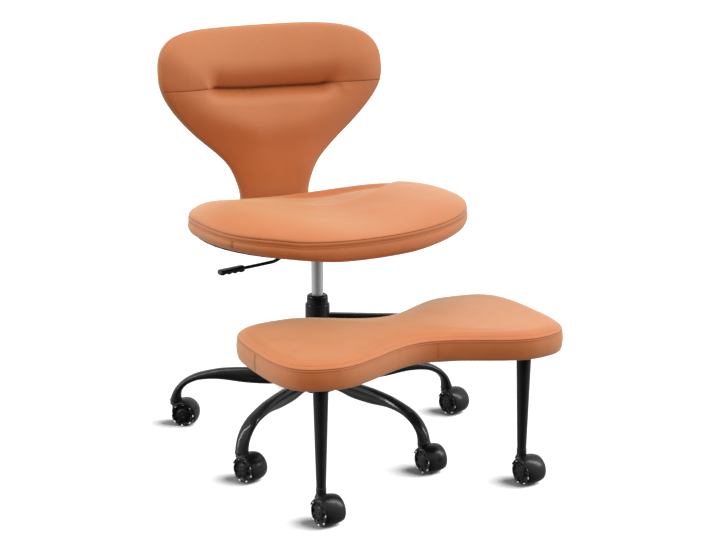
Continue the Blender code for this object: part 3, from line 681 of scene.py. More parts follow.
def make_seat():
    sides = 420
    outline = seat_outline(sides)
    normal = outward(outline)
    middle = np.array((0.0, SEAT_Y))
    around = np.arange(sides)
    pucker = np.array(
        [noise.noise(Vector((outline[k, 0] * 46.0, outline[k, 1] * 46.0, 3.1))) for k in around]
    )
    rings, seam_and_shade_rings = [], []

    def seam_height(xy):
        return SEAT_SEAM_Z + seam_rise(xy[:, 0], xy[:, 1]) - seam_sag(xy[:, 0])

    def put(xy, z, seam=0.0):
        rings.append(np.stack([xy[:, 0], xy[:, 1], z], axis=1))
        seam_and_shade_rings.append(np.full(sides, seam) if np.isscalar(seam) else seam)

    for scale in (0.25, 0.55, 0.80, 0.93):
        xy = middle + (outline - middle) * scale
        put(xy, SEAT_LOW + cradle(xy[:, 0]))
    for off, lift in ((-0.0130, 0.0000), (-0.0085, -0.0002), (-0.0050, 0.0004), (-0.0024, 0.0020), (-0.0007, 0.0056)):
        xy = outline + normal * off
        put(xy, SEAT_LOW + cradle(xy[:, 0]) + lift - front_drop(xy[:, 0]))
    # upright seams of the side band: a narrow groove at each, its colour darkened, partly as painted shade
    band_seam = upright_seams(outline, ((-0.2962, -0.1778, 1.0), (0.0, 0.1755, 1.0)))
    low = SEAT_LOW + cradle(outline[:, 0]) + 0.0056 - front_drop(outline[:, 0])
    high = seam_height(outline) - 0.0130
    for share in np.linspace(0.08, 1.0, 10):
        bulge = 0.0022 * math.sin(math.pi * share) + 0.0002
        soft = pucker * 0.00035 * share - band_seam * 0.0009
        put(outline + normal * (bulge + soft)[:, None], low + (high - low) * share, band_seam * 0.8)
    # row of top stitching under the seam, then the seam itself, both darkened in colour, partly as painted shade in the
    # grooves
    top = seam_height(outline)
    for drop, off, seam in (
        (0.0120, 0.0006, 0.0),
        (0.0101, 0.0005, 0.02),
        (0.0095, 0.0002, 0.09),
        (0.0089, 0.0000, 0.15),
        (0.0083, 0.0002, 0.09),
        (0.0077, 0.0005, 0.02),
        (0.0058, 0.0008, 0.0),
        (0.0030, 0.0008, 0.0),
        (0.0014, 0.0004, 0.0),
        (0.0007, -0.0004, 0.26),
        (0.0001, -0.0013, 0.70),
        (-0.0005, -0.0007, 0.26),
        (-0.0010, -0.0003, 0.0),
    ):
        put(outline + normal * (off + pucker * 0.0003)[:, None], top - drop, seam)
    scales = 1.0 - np.concatenate(
        [np.array((0.0020, 0.0040, 0.0070, 0.011, 0.016, 0.022, 0.030, 0.040, 0.052)), np.linspace(0.066, 0.985, 58)]
    )
    start = 0.0011
    for scale in scales:
        xy = middle + (outline - middle) * scale
        x, y = xy[:, 0], xy[:, 1]
        lift = max(0.0, 1.0 - scale**3.7) ** 0.58
        hollow = seat_basin(x, y) * (1.0 - smoothstep((scale - 0.84) / 0.15))
        z = seam_height(xy) + start * (1 - lift) + (seat_crown(x, y) + seam_sag(x) * (1.0 - smoothstep((x + 0.10) / 0.30))) * lift - hollow
        z = z + pucker * 0.0006 * math.exp(-(1.0 - scale) / 0.035)
        z = z + wobble(np.stack([x, y, z], axis=1), 16.0, 0.0006, 2.0) * lift
        put(xy, z)
    rings = np.array(rings)
    points, faces = skin(rings, (0.0, SEAT_Y, SEAT_LOW), rings[-1].mean(0))
    shape = Shape()
    shape.add(points, faces, np.concatenate([np.concatenate(seam_and_shade_rings), [0.0, 0.0]]))
    seat = finish_piece("seat_upholstery", shape, LEATHER, "seat", ("seat_cushion",), None)
    # thread in the stitch row
    path = np.stack([*outline.T, top - 0.0089], axis=1)
    threads = stitch_shape(path, np.stack([*normal.T, np.zeros(sides)], axis=1))
    finish_piece("seat_stitching", threads, THREAD, "seat", (), None)
    return seat


make_seat()

# ------------------------------------------------------------------ footrest cushion
FOOT_X, FOOT_Y, FOOT_TURN = 0.0050, -0.386, math.radians(-1.6)
FOOT_HALF_LENGTH, FOOT_LOBE, FOOT_WAIST, FOOT_WAIST_REACH = 0.3465, 0.1835, 0.101, 0.240
FOOT_END, FOOT_SIDE = 0.23, 0.65
FOOT_REAR_REACH = 0.196
FOOT_LOW, FOOT_SEAM_Z, FOOT_CROWN_Z = 0.3144, 0.3582, 0.3752


def foot_outline(count, inset=0.0):
    # close steps at the waist as well as at the ends
    waist = np.arccos(signed_power(np.linspace(-0.98, 0.98, 1601), 1.0 / FOOT_END))
    t = np.unique(np.concatenate([np.arange(7200) * math.tau / 7200, waist, math.tau - waist]))
    x = (FOOT_HALF_LENGTH - inset) * signed_power(np.cos(t), FOOT_END)
    s = smoothstep(np.abs(x) / np.where(np.sin(t) > 0.0, FOOT_REAR_REACH, FOOT_WAIST_REACH))
    y = (FOOT_WAIST + (FOOT_LOBE - FOOT_WAIST) * s - inset) * signed_power(np.sin(t), FOOT_SIDE)
    c, n = math.cos(FOOT_TURN), math.sin(FOOT_TURN)
    return resample(np.stack([FOOT_X + c * x - n * y, FOOT_Y + n * x + c * y], axis=1), count)[0]


def foot_roll(inset):
    """Height of the top panel over its seam at a distance from the edge."""
    return 0.0013 + 0.0135 * (1.0 - max(0.0, 1.0 - inset / 0.040) ** 2.7)


FOOT_FRONT_SEAM = (0.0345, -0.4925)


def make_footrest_cushion():
    sides = 460
    outline = foot_outline(sides)
    normal = outward(outline)
    middle = np.array((FOOT_X, FOOT_Y))
    pucker = np.array([noise.noise(Vector((x * 46.0, y * 46.0, 7.7))) for x, y in outline])
    rings, seam_and_shade_rings = [], []

    def put(xy, z, seam=0.0):
        z = np.full(sides, z) if np.isscalar(z) else z
        rings.append(np.stack([xy[:, 0], xy[:, 1], z], axis=1))
        seam_and_shade_rings.append(np.full(sides, seam) if np.isscalar(seam) else seam)

    inner = foot_outline(sides, 0.020)
    for scale in (0.25, 0.55, 0.80, 0.96):
        put(middle + (inner - middle) * scale, FOOT_LOW)
    for off, lift in ((-0.0120, -0.0010), (-0.0075, -0.0018), (-0.0040, -0.0014), (-0.0016, 0.0004), (-0.0003, 0.0040)):
        put(outline + normal * off, FOOT_LOW + lift)
    # upright seams of the side band: a narrow groove at each, its colour darkened, partly as painted shade
    band_seam = upright_seams(outline, ((-0.3376, -0.3831, 0.9), (*FOOT_FRONT_SEAM, 0.35), (0.3510, -0.3960, 0.9), (-0.110, -0.262, 0.9)))
    low, high = FOOT_LOW + 0.0040, FOOT_SEAM_Z - 0.0028
    for share in np.linspace(0.08, 1.0, 12):
        bulge = 0.0018 * math.sin(math.pi * share) + 0.0001
        off = bulge + pucker * 0.0004 * share - band_seam * 0.0010
        put(outline + normal * off[:, None], low + (high - low) * share, band_seam * 0.9)
    # edge seam, its colour darkened, partly as painted shade in the groove
    for drop, off, seam in (
        (0.0020, 0.0005, 0.0),
        (0.0012, 0.0001, 0.10),
        (0.0006, -0.0006, 0.35),
        (0.0001, -0.0013, 0.70),
        (-0.0005, -0.0009, 0.35),
        (-0.0010, -0.0007, 0.05),
        (-0.0016, -0.0009, 0.0),
    ):
        put(outline + normal * (off + pucker * 0.0003)[:, None], FOOT_SEAM_Z - drop, seam)
    # top panel: wide rolled edge with a faint row of stitching in it, then a slight crown; the stitch row is faintly
    # darkened, partly as painted shade
    for inset, dip, seam in (
        (0.0007, 0.0, 0.0),
        (0.0018, 0.0, 0.0),
        (0.0032, 0.0, 0.0),
        (0.0050, 0.0, 0.0),
        (0.0068, 0.0, 0.0),
        (0.0076, 0.0, 0.03),
        (0.0082, 0.0, 0.06),
        (0.0088, 0.0, 0.03),
        (0.0097, 0.0, 0.0),
        (0.0118, 0.0, 0.0),
        (0.0145, 0.0, 0.0),
        (0.0180, 0.0, 0.0),
        (0.0220, 0.0, 0.0),
        (0.0265, 0.0, 0.0),
        (0.0310, 0.0, 0.0),
    ):
        soft = pucker * 0.0004 * math.exp(-inset / 0.012)
        put(outline - normal * inset, FOOT_SEAM_Z + foot_roll(inset) - dip + soft, seam)
    rim = outline - normal * 0.0350
    edge = foot_roll(0.0350)
    for scale in np.concatenate([[1.0, 0.985], np.linspace(0.96, 0.02, 40)]):
        xy = middle + (rim - middle) * scale
        z = FOOT_SEAM_Z + edge + (FOOT_CROWN_Z - FOOT_SEAM_Z - edge) * (1.0 - scale**2.2)
        z = z + wobble(np.stack([xy[:, 0], xy[:, 1], np.full(sides, z)], axis=1), 15.0, 0.0006, 5.0) * smoothstep((1 - scale) / 0.1)
        put(xy, z)
    rings = np.array(rings)
    points, faces = skin(rings, (FOOT_X, FOOT_Y, FOOT_LOW), rings[-1].mean(0))
    shape = Shape()
    shape.add(points, faces, np.concatenate([np.concatenate(seam_and_shade_rings), [0.0, 0.0]]))
    pad = finish_piece(
        "footrest_upholstery", shape, LEATHER, "footrest", ("footrest_cushion",), None
    )
    pad.visible_glossy = False
    path = np.stack([*(outline - normal * 0.0082).T, np.full(sides, FOOT_SEAM_Z + foot_roll(0.0082) - 0.0002)], axis=1)
    up = np.stack([*(normal * 0.45).T, np.full(sides, 0.9)], axis=1)
    finish_piece("footrest_stitching", stitch_shape(path, up, radius=0.0003), THREAD, "footrest", (), None)
    return pad


make_footrest_cushion()

# ------------------------------------------------------------------ back cushion
NECK_HALF, BACK_HALF = 0.088, 0.293
TOP_SQUARE = {-1: 6.0, 1: 4.1}
BACK_LOW, BACK_FLARE, BACK_WIDEST, BACK_TOP = 0.522, 0.545, 0.845, 0.952
BACK_Y, BACK_LEAN, BACK_WRAP = 0.232, 0.128, 0.045
BACK_EDGE = 0.0125
CREASE_Z, CREASE_HALF = 0.8175, 0.170
CORNER_Z = 0.925


def back_half_width(z, side=1):
    z = np.asarray(z, float)
    s = smoothstep((z - BACK_FLARE) / (BACK_WIDEST - BACK_FLARE))
    half = BACK_HALF - 0.004 * (side > 0)
    low = (NECK_HALF + (half - NECK_HALF) * s) * (1.0 - 0.085 * np.exp(-(((z - 0.636) / 0.044) ** 2)))
    u = np.clip((z - BACK_WIDEST) / (BACK_TOP - BACK_WIDEST), 0.0, 1.0)
    high = half * (1.0 - u**3) ** (1.0 / TOP_SQUARE[side])
    return np.where(z <= BACK_WIDEST, low, high)


def back_top(x, side=1):
    u = np.clip(np.abs(x) / (BACK_HALF - 0.004 * (side > 0)), 0.0, 1.0)
    return BACK_WIDEST + (BACK_TOP - BACK_WIDEST) * (1.0 - u ** TOP_SQUARE[side]) ** (1.0 / 3.0)


def back_y(x, z):
    bow = 0.006 * np.exp(-(((z - 0.632) / 0.060) ** 2))
    return BACK_Y + BACK_LEAN * (z - 0.56) - BACK_WRAP * (x / 0.290) ** 2 - bow


def crease_line(x):
    low = 0.0038 * (1.0 - smoothstep((np.abs(x) - 0.11) / 0.07))
    low = low + 0.0047 * (1.0 - smoothstep((-x - 0.04) / 0.11)) * (1.0 - smoothstep((x - 0.125) / 0.060))
    return CREASE_Z - 0.0025 - 0.018 * x - low


def edge_distance(x, z):
    """Distance of points from the outline of the back."""
    best = np.full(x.size, 1e9)
    for side in (-1, 1):
        levels = np.linspace(BACK_LOW, CORNER_Z, 700)
        edge = np.stack([back_half_width(levels, side), levels], axis=1)
        across = np.linspace(float(back_half_width(CORNER_Z, side)), 0.0, 260)
        top = np.stack([across, back_top(across, side)], axis=1)
        line = np.vstack([edge, top])
        here = np.where(x.ravel() * side >= 0)[0]
        spots = np.stack([np.abs(x).ravel(), z.ravel()], axis=1)[here]
        for chunk in np.array_split(line, 20):
            d = np.hypot(spots[:, None, 0] - chunk[None, :, 0], spots[:, None, 1] - chunk[None, :, 1]).min(1)
            best[here] = np.minimum(best[here], d)
    return best.reshape(x.shape)


def back_fullness(z):
    return 0.028 + 0.009 * smoothstep((z - 0.56) / 0.14)


def make_back():
    columns, rows_low, rows_high = 201, 96, 74
    u = np.linspace(-1.0, 1.0, columns)
    # closer columns at both edges
    u = np.sign(u) * (1.0 - (1.0 - np.abs(u)) ** 1.35)

    def across(level):
        """Places of the columns at one level; the two sides are not quite alike."""
        left, right = float(back_half_width(level, -1)), float(back_half_width(level, 1))
        return np.where(u < 0, u * left, u * right)

    corner = across(CORNER_Z)
    crest = np.where(u < 0, back_top(corner, -1), back_top(corner, 1))

    below = np.linspace(0.0, 1.0, rows_low)
    below = 1.0 - (1.0 - below) ** 1.55
    below = below * 0.965 + 0.035 * smoothstep(below)
    above = np.linspace(0.0, 1.0, rows_high)[1:]
    above = 0.5 * above**1.5 + 0.5 * (1.0 - (1.0 - above) ** 1.25)
    x_rows, z_rows = [], []
    for share in below:
        side_z = BACK_LOW + (CREASE_Z - BACK_LOW) * share
        x = across(side_z)
        x_rows.append(x)
        z_rows.append(BACK_LOW + (crease_line(x) - BACK_LOW) * share)
    for share in above:
        side_z = CREASE_Z + (CORNER_Z - CREASE_Z) * share
        x = across(side_z)
        start = crease_line(x)
        x_rows.append(x)
        z_rows.append(start + (crest - start) * share)
    x, z = np.array(x_rows), np.array(z_rows)
    d = edge_distance(x, z)
    d[-1, :] = d[:, 0] = d[:, -1] = 0.0
    # soften the ridges where two edges are equally near
    for _ in range(30):
        d[1:-1, 1:-1] = 0.25 * (d[:-2, 1:-1] + d[2:, 1:-1] + d[1:-1, :-2] + d[1:-1, 2:])
    full = back_fullness(z)
    dome = 1.0 - (1.0 - np.clip(d / 0.095, 0.0, 1.0)) ** 2.5
    dome = dome * (1.0 - (1.0 - np.clip((z - BACK_LOW) / 0.024, 0.0, 1.0)) ** 2.5)
    roll = 0.0030 * np.exp(-d / 0.0035)
    line = crease_line(x)
    up = z - line
    over, under = np.maximum(up, 0.0), np.maximum(-up, 0.0)
    # upper pillow and lower panel swell on their own
    swell = 0.0070 * np.sin(math.pi * np.clip(over / 0.120, 0.0, 1.0) ** 0.8)
    belly = 0.0170 * np.exp(-(((z - 0.724) / 0.056) ** 2)) * smoothstep(under / 0.020)
    reach = smoothstep(d / 0.11)
    front = full * dome + BACK_EDGE * (1.0 - dome) - roll + (swell + belly) * reach
    # tucked crease in the middle, plain seam out to both edges
    ends = 1.0 - smoothstep((np.abs(x) - (CREASE_HALF - 0.030)) / (0.036 + 0.60 * np.abs(up)))
    tuck = np.where(up >= 0, np.clip(1.0 - over / 0.070, 0.0, 1.0) ** 2.4, np.clip(1.0 - under / 0.040, 0.0, 1.0) ** 2.1)
    front -= 0.0285 * ends * tuck
    plain = np.exp(-((up / 0.0011) ** 2))
    front -= 0.0016 * plain * (1.0 - ends) * smoothstep(d / 0.004)
    # colour darkening along the plain seam and in the tucked crease, spread wider above the crease than below: painted
    # shade under the overhanging pillow
    seam = plain * (1.0 - ends) * 0.8 + ends * np.exp(-((np.minimum(np.abs(up) / np.where(up > 0, 0.0056, 0.0036), 4.0)) ** 2))
    # gathers where the tuck pulls the cover
    gather = np.array([noise.noise(Vector((v * 120.0, 0.0, 4.0))) for v in x.ravel()]).reshape(x.shape)
    front += gather * 0.0007 * ends * np.exp(-np.abs(up) / 0.016)
    front += wobble(np.stack([x, z, 0 * x], axis=2).reshape(-1, 3), 15.0, 0.0007, 9.0).reshape(x.shape) * reach
    rear = back_fullness(z) * 0.92 * dome + BACK_EDGE * (1.0 - dome) - roll
    rear += wobble(np.stack([x, z, 0 * x], axis=2).reshape(-1, 3), 13.0, 0.0007, 12.0).reshape(x.shape) * reach
    middle = back_y(x, z)
    rows = len(x)
    shape = Shape()
    front_points = np.stack([x, middle - front, z], axis=2)
    rear_points = np.stack([x, middle + rear, z], axis=2)
    grid = []
    for r in range(rows - 1):
        for c in range(columns - 1):
            a = r * columns + c
            grid.append((a, a + 1, a + columns + 1, a + columns))
    first = shape.add(front_points, grid, seam)
    second = shape.add(rear_points, [tuple(reversed(f)) for f in grid])
    # side band between the two panels, with a seam at each edge, each seam darkened in colour, partly as painted shade
    loop = (
        [c for c in range(columns)]
        + [r * columns + columns - 1 for r in range(1, rows)]
        + [(rows - 1) * columns + c for c in range(columns - 2, -1, -1)]
        + [r * columns for r in range(rows - 2, 0, -1)]
    )
    front_loop = front_points.reshape(-1, 3)[loop]
    rear_loop = rear_points.reshape(-1, 3)[loop]
    flat = front_loop[:, [0, 2]]
    ahead = np.roll(flat, -1, axis=0) - np.roll(flat, 1, axis=0)
    out = np.stack([ahead[:, 1], np.zeros(len(flat)), -ahead[:, 0]], axis=1)
    out /= np.linalg.norm(out, axis=1, keepdims=True)
    bands, band_seams = [], []
    for share, off, value in (
        (0.035, -0.0016, 1.0),
        (0.075, -0.0003, 0.35),
        (0.13, 0.0007, 0.0),
        (0.20, 0.0010, 0.0),
        (0.235, 0.0003, 0.5),
        (0.265, 0.0003, 0.5),
        (0.30, 0.0013, 0.0),
        (0.42, 0.0019, 0.0),
        (0.55, 0.0021, 0.0),
        (0.70, 0.0018, 0.0),
        (0.85, 0.0010, 0.0),
        (0.925, -0.0003, 0.35),
        (0.965, -0.0016, 1.0),
    ):
        bands.append(front_loop * (1 - share) + rear_loop * share + out * off)
        band_seams.append(np.full(len(loop), value))
    count = len(loop)
    start = shape.add(np.concatenate(bands), ring_faces(len(bands), count), np.concatenate(band_seams))
    last = start + (len(bands) - 1) * count
    for k in range(count):
        m = (k + 1) % count
        shape.faces.append((first + loop[k], first + loop[m], start + m, start + k))
        shape.faces.append((last + k, last + m, second + loop[m], second + loop[k]))
        shape.slots += [0, 0]
    back = finish_piece("back_upholstery", shape, LEATHER, "seat", ("back_cushion",), None)
    path = front_loop * 0.75 + rear_loop * 0.25 + out * 0.0004
    finish_piece("back_stitching", stitch_shape(path, out), THREAD, "seat", (), None)
    return back


make_back()

# ------------------------------------------------------------------ casters
FLOOR_Z = 0.0115
WHEEL_R, WHEEL_IN, WHEEL_OUT = 0.0280, 0.0088, 0.0240
TRAIL = 0.0219
HOOD_IN, HOOD_OUT, HOOD_HALF = 0.0296, 0.0320, 0.0238
HOOD_EDGE, HOOD_CROWN = 0.0306, 0.0044
HOOD_LIP, HOOD_LIP_IN, HOOD_FRONT = 0.0257, 0.0262, 158.0
HOOD_TOP, SOCKET_R = 0.0586, 0.0090
BASE_R = 0.350
LEG_ANGLES = (-128.2, -56.2, 15.8, 87.8, 159.8)
BASE_SWIVELS = (51.6, 24.3, 8.0, 19.5, 33.0)
FOOT_SWIVELS = (9.3, 10.6)
FOOT_LEG_X, FOOT_LEG_Y = 0.250, -0.500


def rounded_loop(points, radius, steps=4):
    """Rounds every corner of a closed plane outline."""
    points = [np.array(p, float) for p in points]
    made = []
    for k, at in enumerate(points):
        before, after = points[k - 1], points[(k + 1) % len(points)]
        a, b = before - at, after - at
        la, lb = np.linalg.norm(a), np.linalg.norm(b)
        cut = min(radius, 0.45 * la, 0.45 * lb)
        p, q = at + a / la * cut, at + b / lb * cut
        for i in range(steps + 1):
            t = i / steps
            made.append(p * (1 - t) ** 2 + at * 2 * t * (1 - t) + q * t**2)
    return np.array(made)


def slab(outline, low, high, bevel):
    """Plate from a closed outline in (a, b), between low and high along the third axis, with bevelled rims."""
    outline = np.asarray(outline, float)
    if np.sum(outline[:, 0] * np.roll(outline[:, 1], -1) - outline[:, 1] * np.roll(outline[:, 0], -1)) < 0:
        outline = outline[::-1]
    normal = outward(outline)
    rings = []
    for off, at in ((-bevel, low), (-0.3 * bevel, low + 0.3 * bevel), (0.0, low + bevel), (0.0, high - bevel), (-0.3 * bevel, high - 0.3 * bevel), (-bevel, high)):
        ring = outline + normal * off
        rings.append(np.column_stack([ring, np.full(len(ring), at)]))
    count = len(outline)
    points = np.concatenate(rings)
    faces = ring_faces(len(rings), count)
    faces.append(tuple(range(count))[::-1])
    faces.append(tuple((len(rings) - 1) * count + k for k in range(count)))
    return points, faces


def hood_shape():
    shape = Shape()
    # cover over both wheels: crowned outside, with a lip down over the wheel shoulders at both sides
    across = np.linspace(-1.0, 1.0, 37)
    outer = []
    for s in across:
        r = HOOD_EDGE + HOOD_CROWN * (1.0 - abs(s) ** 2.3)
        outer.append((s * (HOOD_LIP - 0.0004), r))
    lip = [(HOOD_LIP, HOOD_EDGE - 0.0006), (HOOD_LIP, HOOD_LIP_IN + 0.0004), (HOOD_LIP - 0.0004, HOOD_LIP_IN), (HOOD_LIP - 0.0008, HOOD_LIP_IN + 0.0003)]
    lip += [(HOOD_LIP - 0.0009, HOOD_IN - 0.0006), (HOOD_LIP - 0.0018, HOOD_IN)]
    section = outer + lip
    section += [(s * (HOOD_LIP - 0.0040), HOOD_IN) for s in np.linspace(1.0, -1.0, 9)]
    section += [(-x, r) for x, r in reversed(lip)]
    section = np.array(section)
    rings = []
    angles = np.concatenate([[-37.6, -37.2, -36.4], np.linspace(-35.0, HOOD_FRONT - 2.0, 74), [HOOD_FRONT - 1.0, HOOD_FRONT - 0.3, HOOD_FRONT]])
    squeeze = np.ones(len(angles))
    squeeze[[0, 1, 2, -3, -2, -1]] = (0.45, 0.75, 0.94, 0.94, 0.75, 0.45)
    for angle, tight in zip(np.radians(angles), squeeze):
        # the lip dies out towards both ends, and the cover thins towards the front
        at = math.degrees(angle)
        fade = smoothstep((at - 2.0) / 40.0) * (1.0 - smoothstep((at - 108.0) / 40.0))
        tight = tight * (1.0 - 0.70 * smoothstep((at - 112.0) / 52.0))
        low = section[:, 1] < HOOD_IN - 0.0001
        r = np.where(low, HOOD_IN - 0.0001 + (section[:, 1] - HOOD_IN + 0.0001) * fade, section[:, 1])
        r = np.where(low, r, HOOD_IN + (r - HOOD_IN) * tight) - 0.0011 * smoothstep((at - 104.0) / 46.0)
        rings.append(np.stack([section[:, 0], -TRAIL - r * math.cos(angle), WHEEL_R + r * math.sin(angle)], axis=1))
    rings = np.array(rings)
    points, faces = skin(rings, rings[0].mean(0), rings[-1].mean(0))
    shape.add(points, faces)
    # web between the wheels
    arc = np.radians(np.linspace(6.0, 122.0, 30))
    side = [(-TRAIL - (HOOD_OUT - 0.0009) * math.cos(a), WHEEL_R + (HOOD_OUT - 0.0009) * math.sin(a)) for a in arc]
    tail = rounded(
        [side[-1], (0.0088, 0.0510), (0.0088, 0.0350), (-0.0110, 0.0215), (-0.0219, 0.0190), (-0.0320, 0.0215), side[0]], 0.004, 5
    )[1:-1]
    points, faces = slab(np.array(side + [tuple(p) for p in tail]), -0.0054, 0.0054, 0.0008)
    shape.add(points[:, [2, 0, 1]], faces)
    # axle boss on the web and flared socket for the stem
    boss, faces = turned(rounded([(0.0, -0.0084), (0.0072, -0.0084), (0.0072, 0.0084), (0.0, 0.0084)], 0.0008), 28)
    shape.add(boss[:, [2, 0, 1]] + np.array((0.0, -TRAIL, WHEEL_R)), faces)
    socket = [(0.0, 0.0420), (0.0086, 0.0420), (0.0150, 0.0500), (0.0122, 0.0560), (SOCKET_R + 0.0016, 0.0596), (SOCKET_R + 0.0006, 0.0622), (0.0, 0.0622)]
    points, faces = turned(rounded(socket, [0.001, 0.002, 0.003, 0.002, 0.0012], 4), 32)
    shape.add(points, faces)
    return shape


WHEEL_GLINT_STUDS = 8


def wheel_shape(sign):
    """Moulded wheel: smooth tread, stepped face with shallow spoke pockets, a hub disc, pale studs at the shoulders
    whose pale colour is a painted glint.
    """
    sides = WHEEL_GLINT_STUDS * 14
    profile = [
        # radius, place along the axle, how far a pocket cuts in
        (0.0040, WHEEL_IN, 0),
        (0.0100, WHEEL_IN, 0),
        (0.0112, WHEEL_IN + 0.0010, 0),
        (0.0205, WHEEL_IN + 0.0010, 0),
        (0.0222, WHEEL_IN + 0.0002, 0),
        (0.0258, WHEEL_IN, 0),
        (0.0270, WHEEL_IN + 0.0004, 0),
        (0.0277, WHEEL_IN + 0.0012, 0),
        (0.0280, WHEEL_IN + 0.0026, 0),
        (0.0280, 0.0150, 0),
        (0.0280, 0.0202, 0),
        (0.0278, 0.0217, 0),
        (0.0272, 0.0229, 0),
        (0.0260, 0.0238, 0),
        (0.0246, 0.0240, 0),
        (0.0236, 0.0238, 0),
        (0.0230, 0.0228, 0),
        (0.0222, 0.0222, 0.2),
        (0.0208, 0.0220, 1.0),
        (0.0162, 0.0219, 1.0),
        (0.0150, 0.0221, 0.2),
        (0.0130, 0.0224, 0),
        (0.0122, 0.0234, 0),
        (0.0112, 0.0239, 0),
        (0.0064, 0.0240, 0),
        (0.0058, 0.0235, 0),
        (0.0050, 0.0235, 0),
        (0.0044, 0.0240, 0),
        (0.0020, 0.0243, 0),
    ]
    turn = np.arange(sides) * math.tau / sides
    phase = (np.arange(sides) % 14) / 14.0
    pocket = smoothstep((0.36 - np.abs(phase - 0.5)) / 0.10)
    rings = []
    for r, x, dip in profile:
        at = x - 0.0022 * dip * pocket
        rings.append(np.stack([sign * at, r * np.sin(turn), r * np.cos(turn)], axis=1))
    rings = np.array(rings)
    points, faces = skin(rings, (sign * WHEEL_IN, 0.0, 0.0), (sign * 0.0244, 0.0, 0.0))
    shape = Shape()
    shape.add(points, faces)
    for k in range(len(faces)):
        ring = k // sides
        if 5 <= ring <= 13 and k < (len(profile) - 1) * sides:
            shape.slots[k] = 1
    # studs: low rounded studs let into the shoulders, coloured pale as a painted glint along the rim
    round_turn = np.arange(14) * math.tau / 14
    for spot_r, spot_x, lean in ((0.0262, 0.0232, 38.0), (0.0266, WHEEL_IN + 0.0007, 142.0)):
        a = math.radians(lean)
        for k in range(WHEEL_GLINT_STUDS):
            b = (k + 0.5) * math.tau / WHEEL_GLINT_STUDS
            radial = np.array((0.0, math.sin(b), math.cos(b)))
            along = np.array((0.0, math.cos(b), -math.sin(b)))
            axle = np.array((float(sign), 0.0, 0.0))
            up = radial * math.sin(a) + axle * math.cos(a)
            wide = np.cross(up, along)
            centre = radial * spot_r + axle * spot_x
            stud = []
            for share, lift in ((1.0, -0.0009), (1.0, 0.0003), (0.86, 0.0008), (0.50, 0.0011)):
                stud.append(
                    centre
                    + up * lift
                    + np.outer(signed_power(np.cos(round_turn), 0.7) * 0.0031 * share, along)
                    + np.outer(signed_power(np.sin(round_turn), 0.7) * 0.0017 * share, wide)
                )
            points, faces = skin(np.array(stud), stud[0].mean(0), stud[-1].mean(0) + up * 0.0001)
            shape.add(points, faces, slot=2)
    return shape


def turned_about_z(points, degrees):
    a = math.radians(degrees)
    points = np.asarray(points, float)
    return np.column_stack(
        [
            points[:, 0] * math.cos(a) - points[:, 1] * math.sin(a),
            points[:, 0] * math.sin(a) + points[:, 1] * math.cos(a),
            points[:, 2],
        ]
    )


HOOD = hood_shape()
WHEELS = {"left": wheel_shape(-1), "right": wheel_shape(1)}


def copy_at(source, swivel, spot, offset=(0.0, 0.0, 0.0), spin=0.0):
    made = Shape()
    points = np.asarray(source.points)
    if spin:
        a = math.radians(spin)
        y, z = points[:, 1].copy(), points[:, 2].copy()
        points = np.column_stack([points[:, 0], y * math.cos(a) - z * math.sin(a), y * math.sin(a) + z * math.cos(a)])
    made.points = [tuple(p) for p in turned_about_z(points + np.array(offset), swivel) + np.array(spot)]
    made.faces, made.seam, made.slots = list(source.faces), list(source.seam), list(source.slots)
    return made


def make_caster(name, x, y, swivel, number):
    spot = (x, y, FLOOR_Z)
    pieces = [finish_piece(name + "_cover", copy_at(HOOD, swivel, spot), PLASTIC, name, (name + "_hood",), 42.0)]
    for side in ("left", "right"):
        pieces.append(
            finish_piece(
                f"{name}_{side}_tyre",
                copy_at(WHEELS[side], swivel, spot, (0.0, -TRAIL, WHEEL_R), 17.0 * number + (9.0 if side == "left" else 0.0)),
                [PLASTIC, TREAD, PALE_GLINT_PAINT],
                f"{name}_{side}_wheel",
                (f"{name}_wheel_{side}",),
                36.0,
            )
        )
    for made in pieces:
        shadow_makers.objects.link(made)


for number, (angle, swivel) in enumerate(zip(LEG_ANGLES, BASE_SWIVELS), 1):
    a = math.radians(angle)
    make_caster(f"base_caster_{number}", BASE_R * math.sin(a), -BASE_R * math.cos(a), swivel, number)
for side, sign, swivel in (("left", -1, FOOT_SWIVELS[0]), ("right", 1, FOOT_SWIVELS[1])):
    make_caster(f"footrest_caster_{side}", sign * FOOT_LEG_X, FOOT_LEG_Y, swivel, 6 + (sign > 0))

# ------------------------------------------------------------------ five-leg base
LEG_STATIONS = np.array(
    (
        # radius, height, half height, half width, direction in degrees below level
        (0.03335, 0.1440, 0.0145, 0.0140, 0.0),
        (0.078, 0.1440, 0.0155, 0.0139, 0.0),
        (0.120, 0.1420, 0.0190, 0.0138, 0.0),
        (0.178, 0.1421, 0.0190, 0.0140, 3.0),
        (0.2287, 0.1422, 0.0147, 0.0147, 8.0),
        (0.2524, 0.1403, 0.0122, 0.0152, 12.0),
        (0.2767, 0.1365, 0.0101, 0.0157, 18.0),
        (0.3010, 0.1298, 0.0086, 0.0162, 27.0),
        (0.3240, 0.1172, 0.0080, 0.0164, 41.0),
        (0.3390, 0.1022, 0.0084, 0.0163, 55.0),
        (0.3460, 0.0890, 0.0102, 0.0160, 72.0),
        (0.350, 0.0720, 0.0136, 0.0158, 90.0),
    )
)
LEG_END_Z = 0.0668


def smooth_table(table, goals):
    """Catmull-Rom through the rows of a table, at fractional row numbers."""
    made = []
    last = len(table) - 1
    for g in goals:
        k = min(int(g), last - 1)
        t = g - k
        p1, p2 = table[k], table[k + 1]
        p0 = table[k - 1] if k > 0 else 2 * p1 - p2
        p3 = table[k + 2] if k + 2 <= last else 2 * p2 - p1
        made.append(
            0.5 * (2 * p1 + (p2 - p0) * t + (2 * p0 - 5 * p1 + 4 * p2 - p3) * t**2 + (3 * p1 - p0 - 3 * p2 + p3) * t**3)
        )
    return np.array(made)


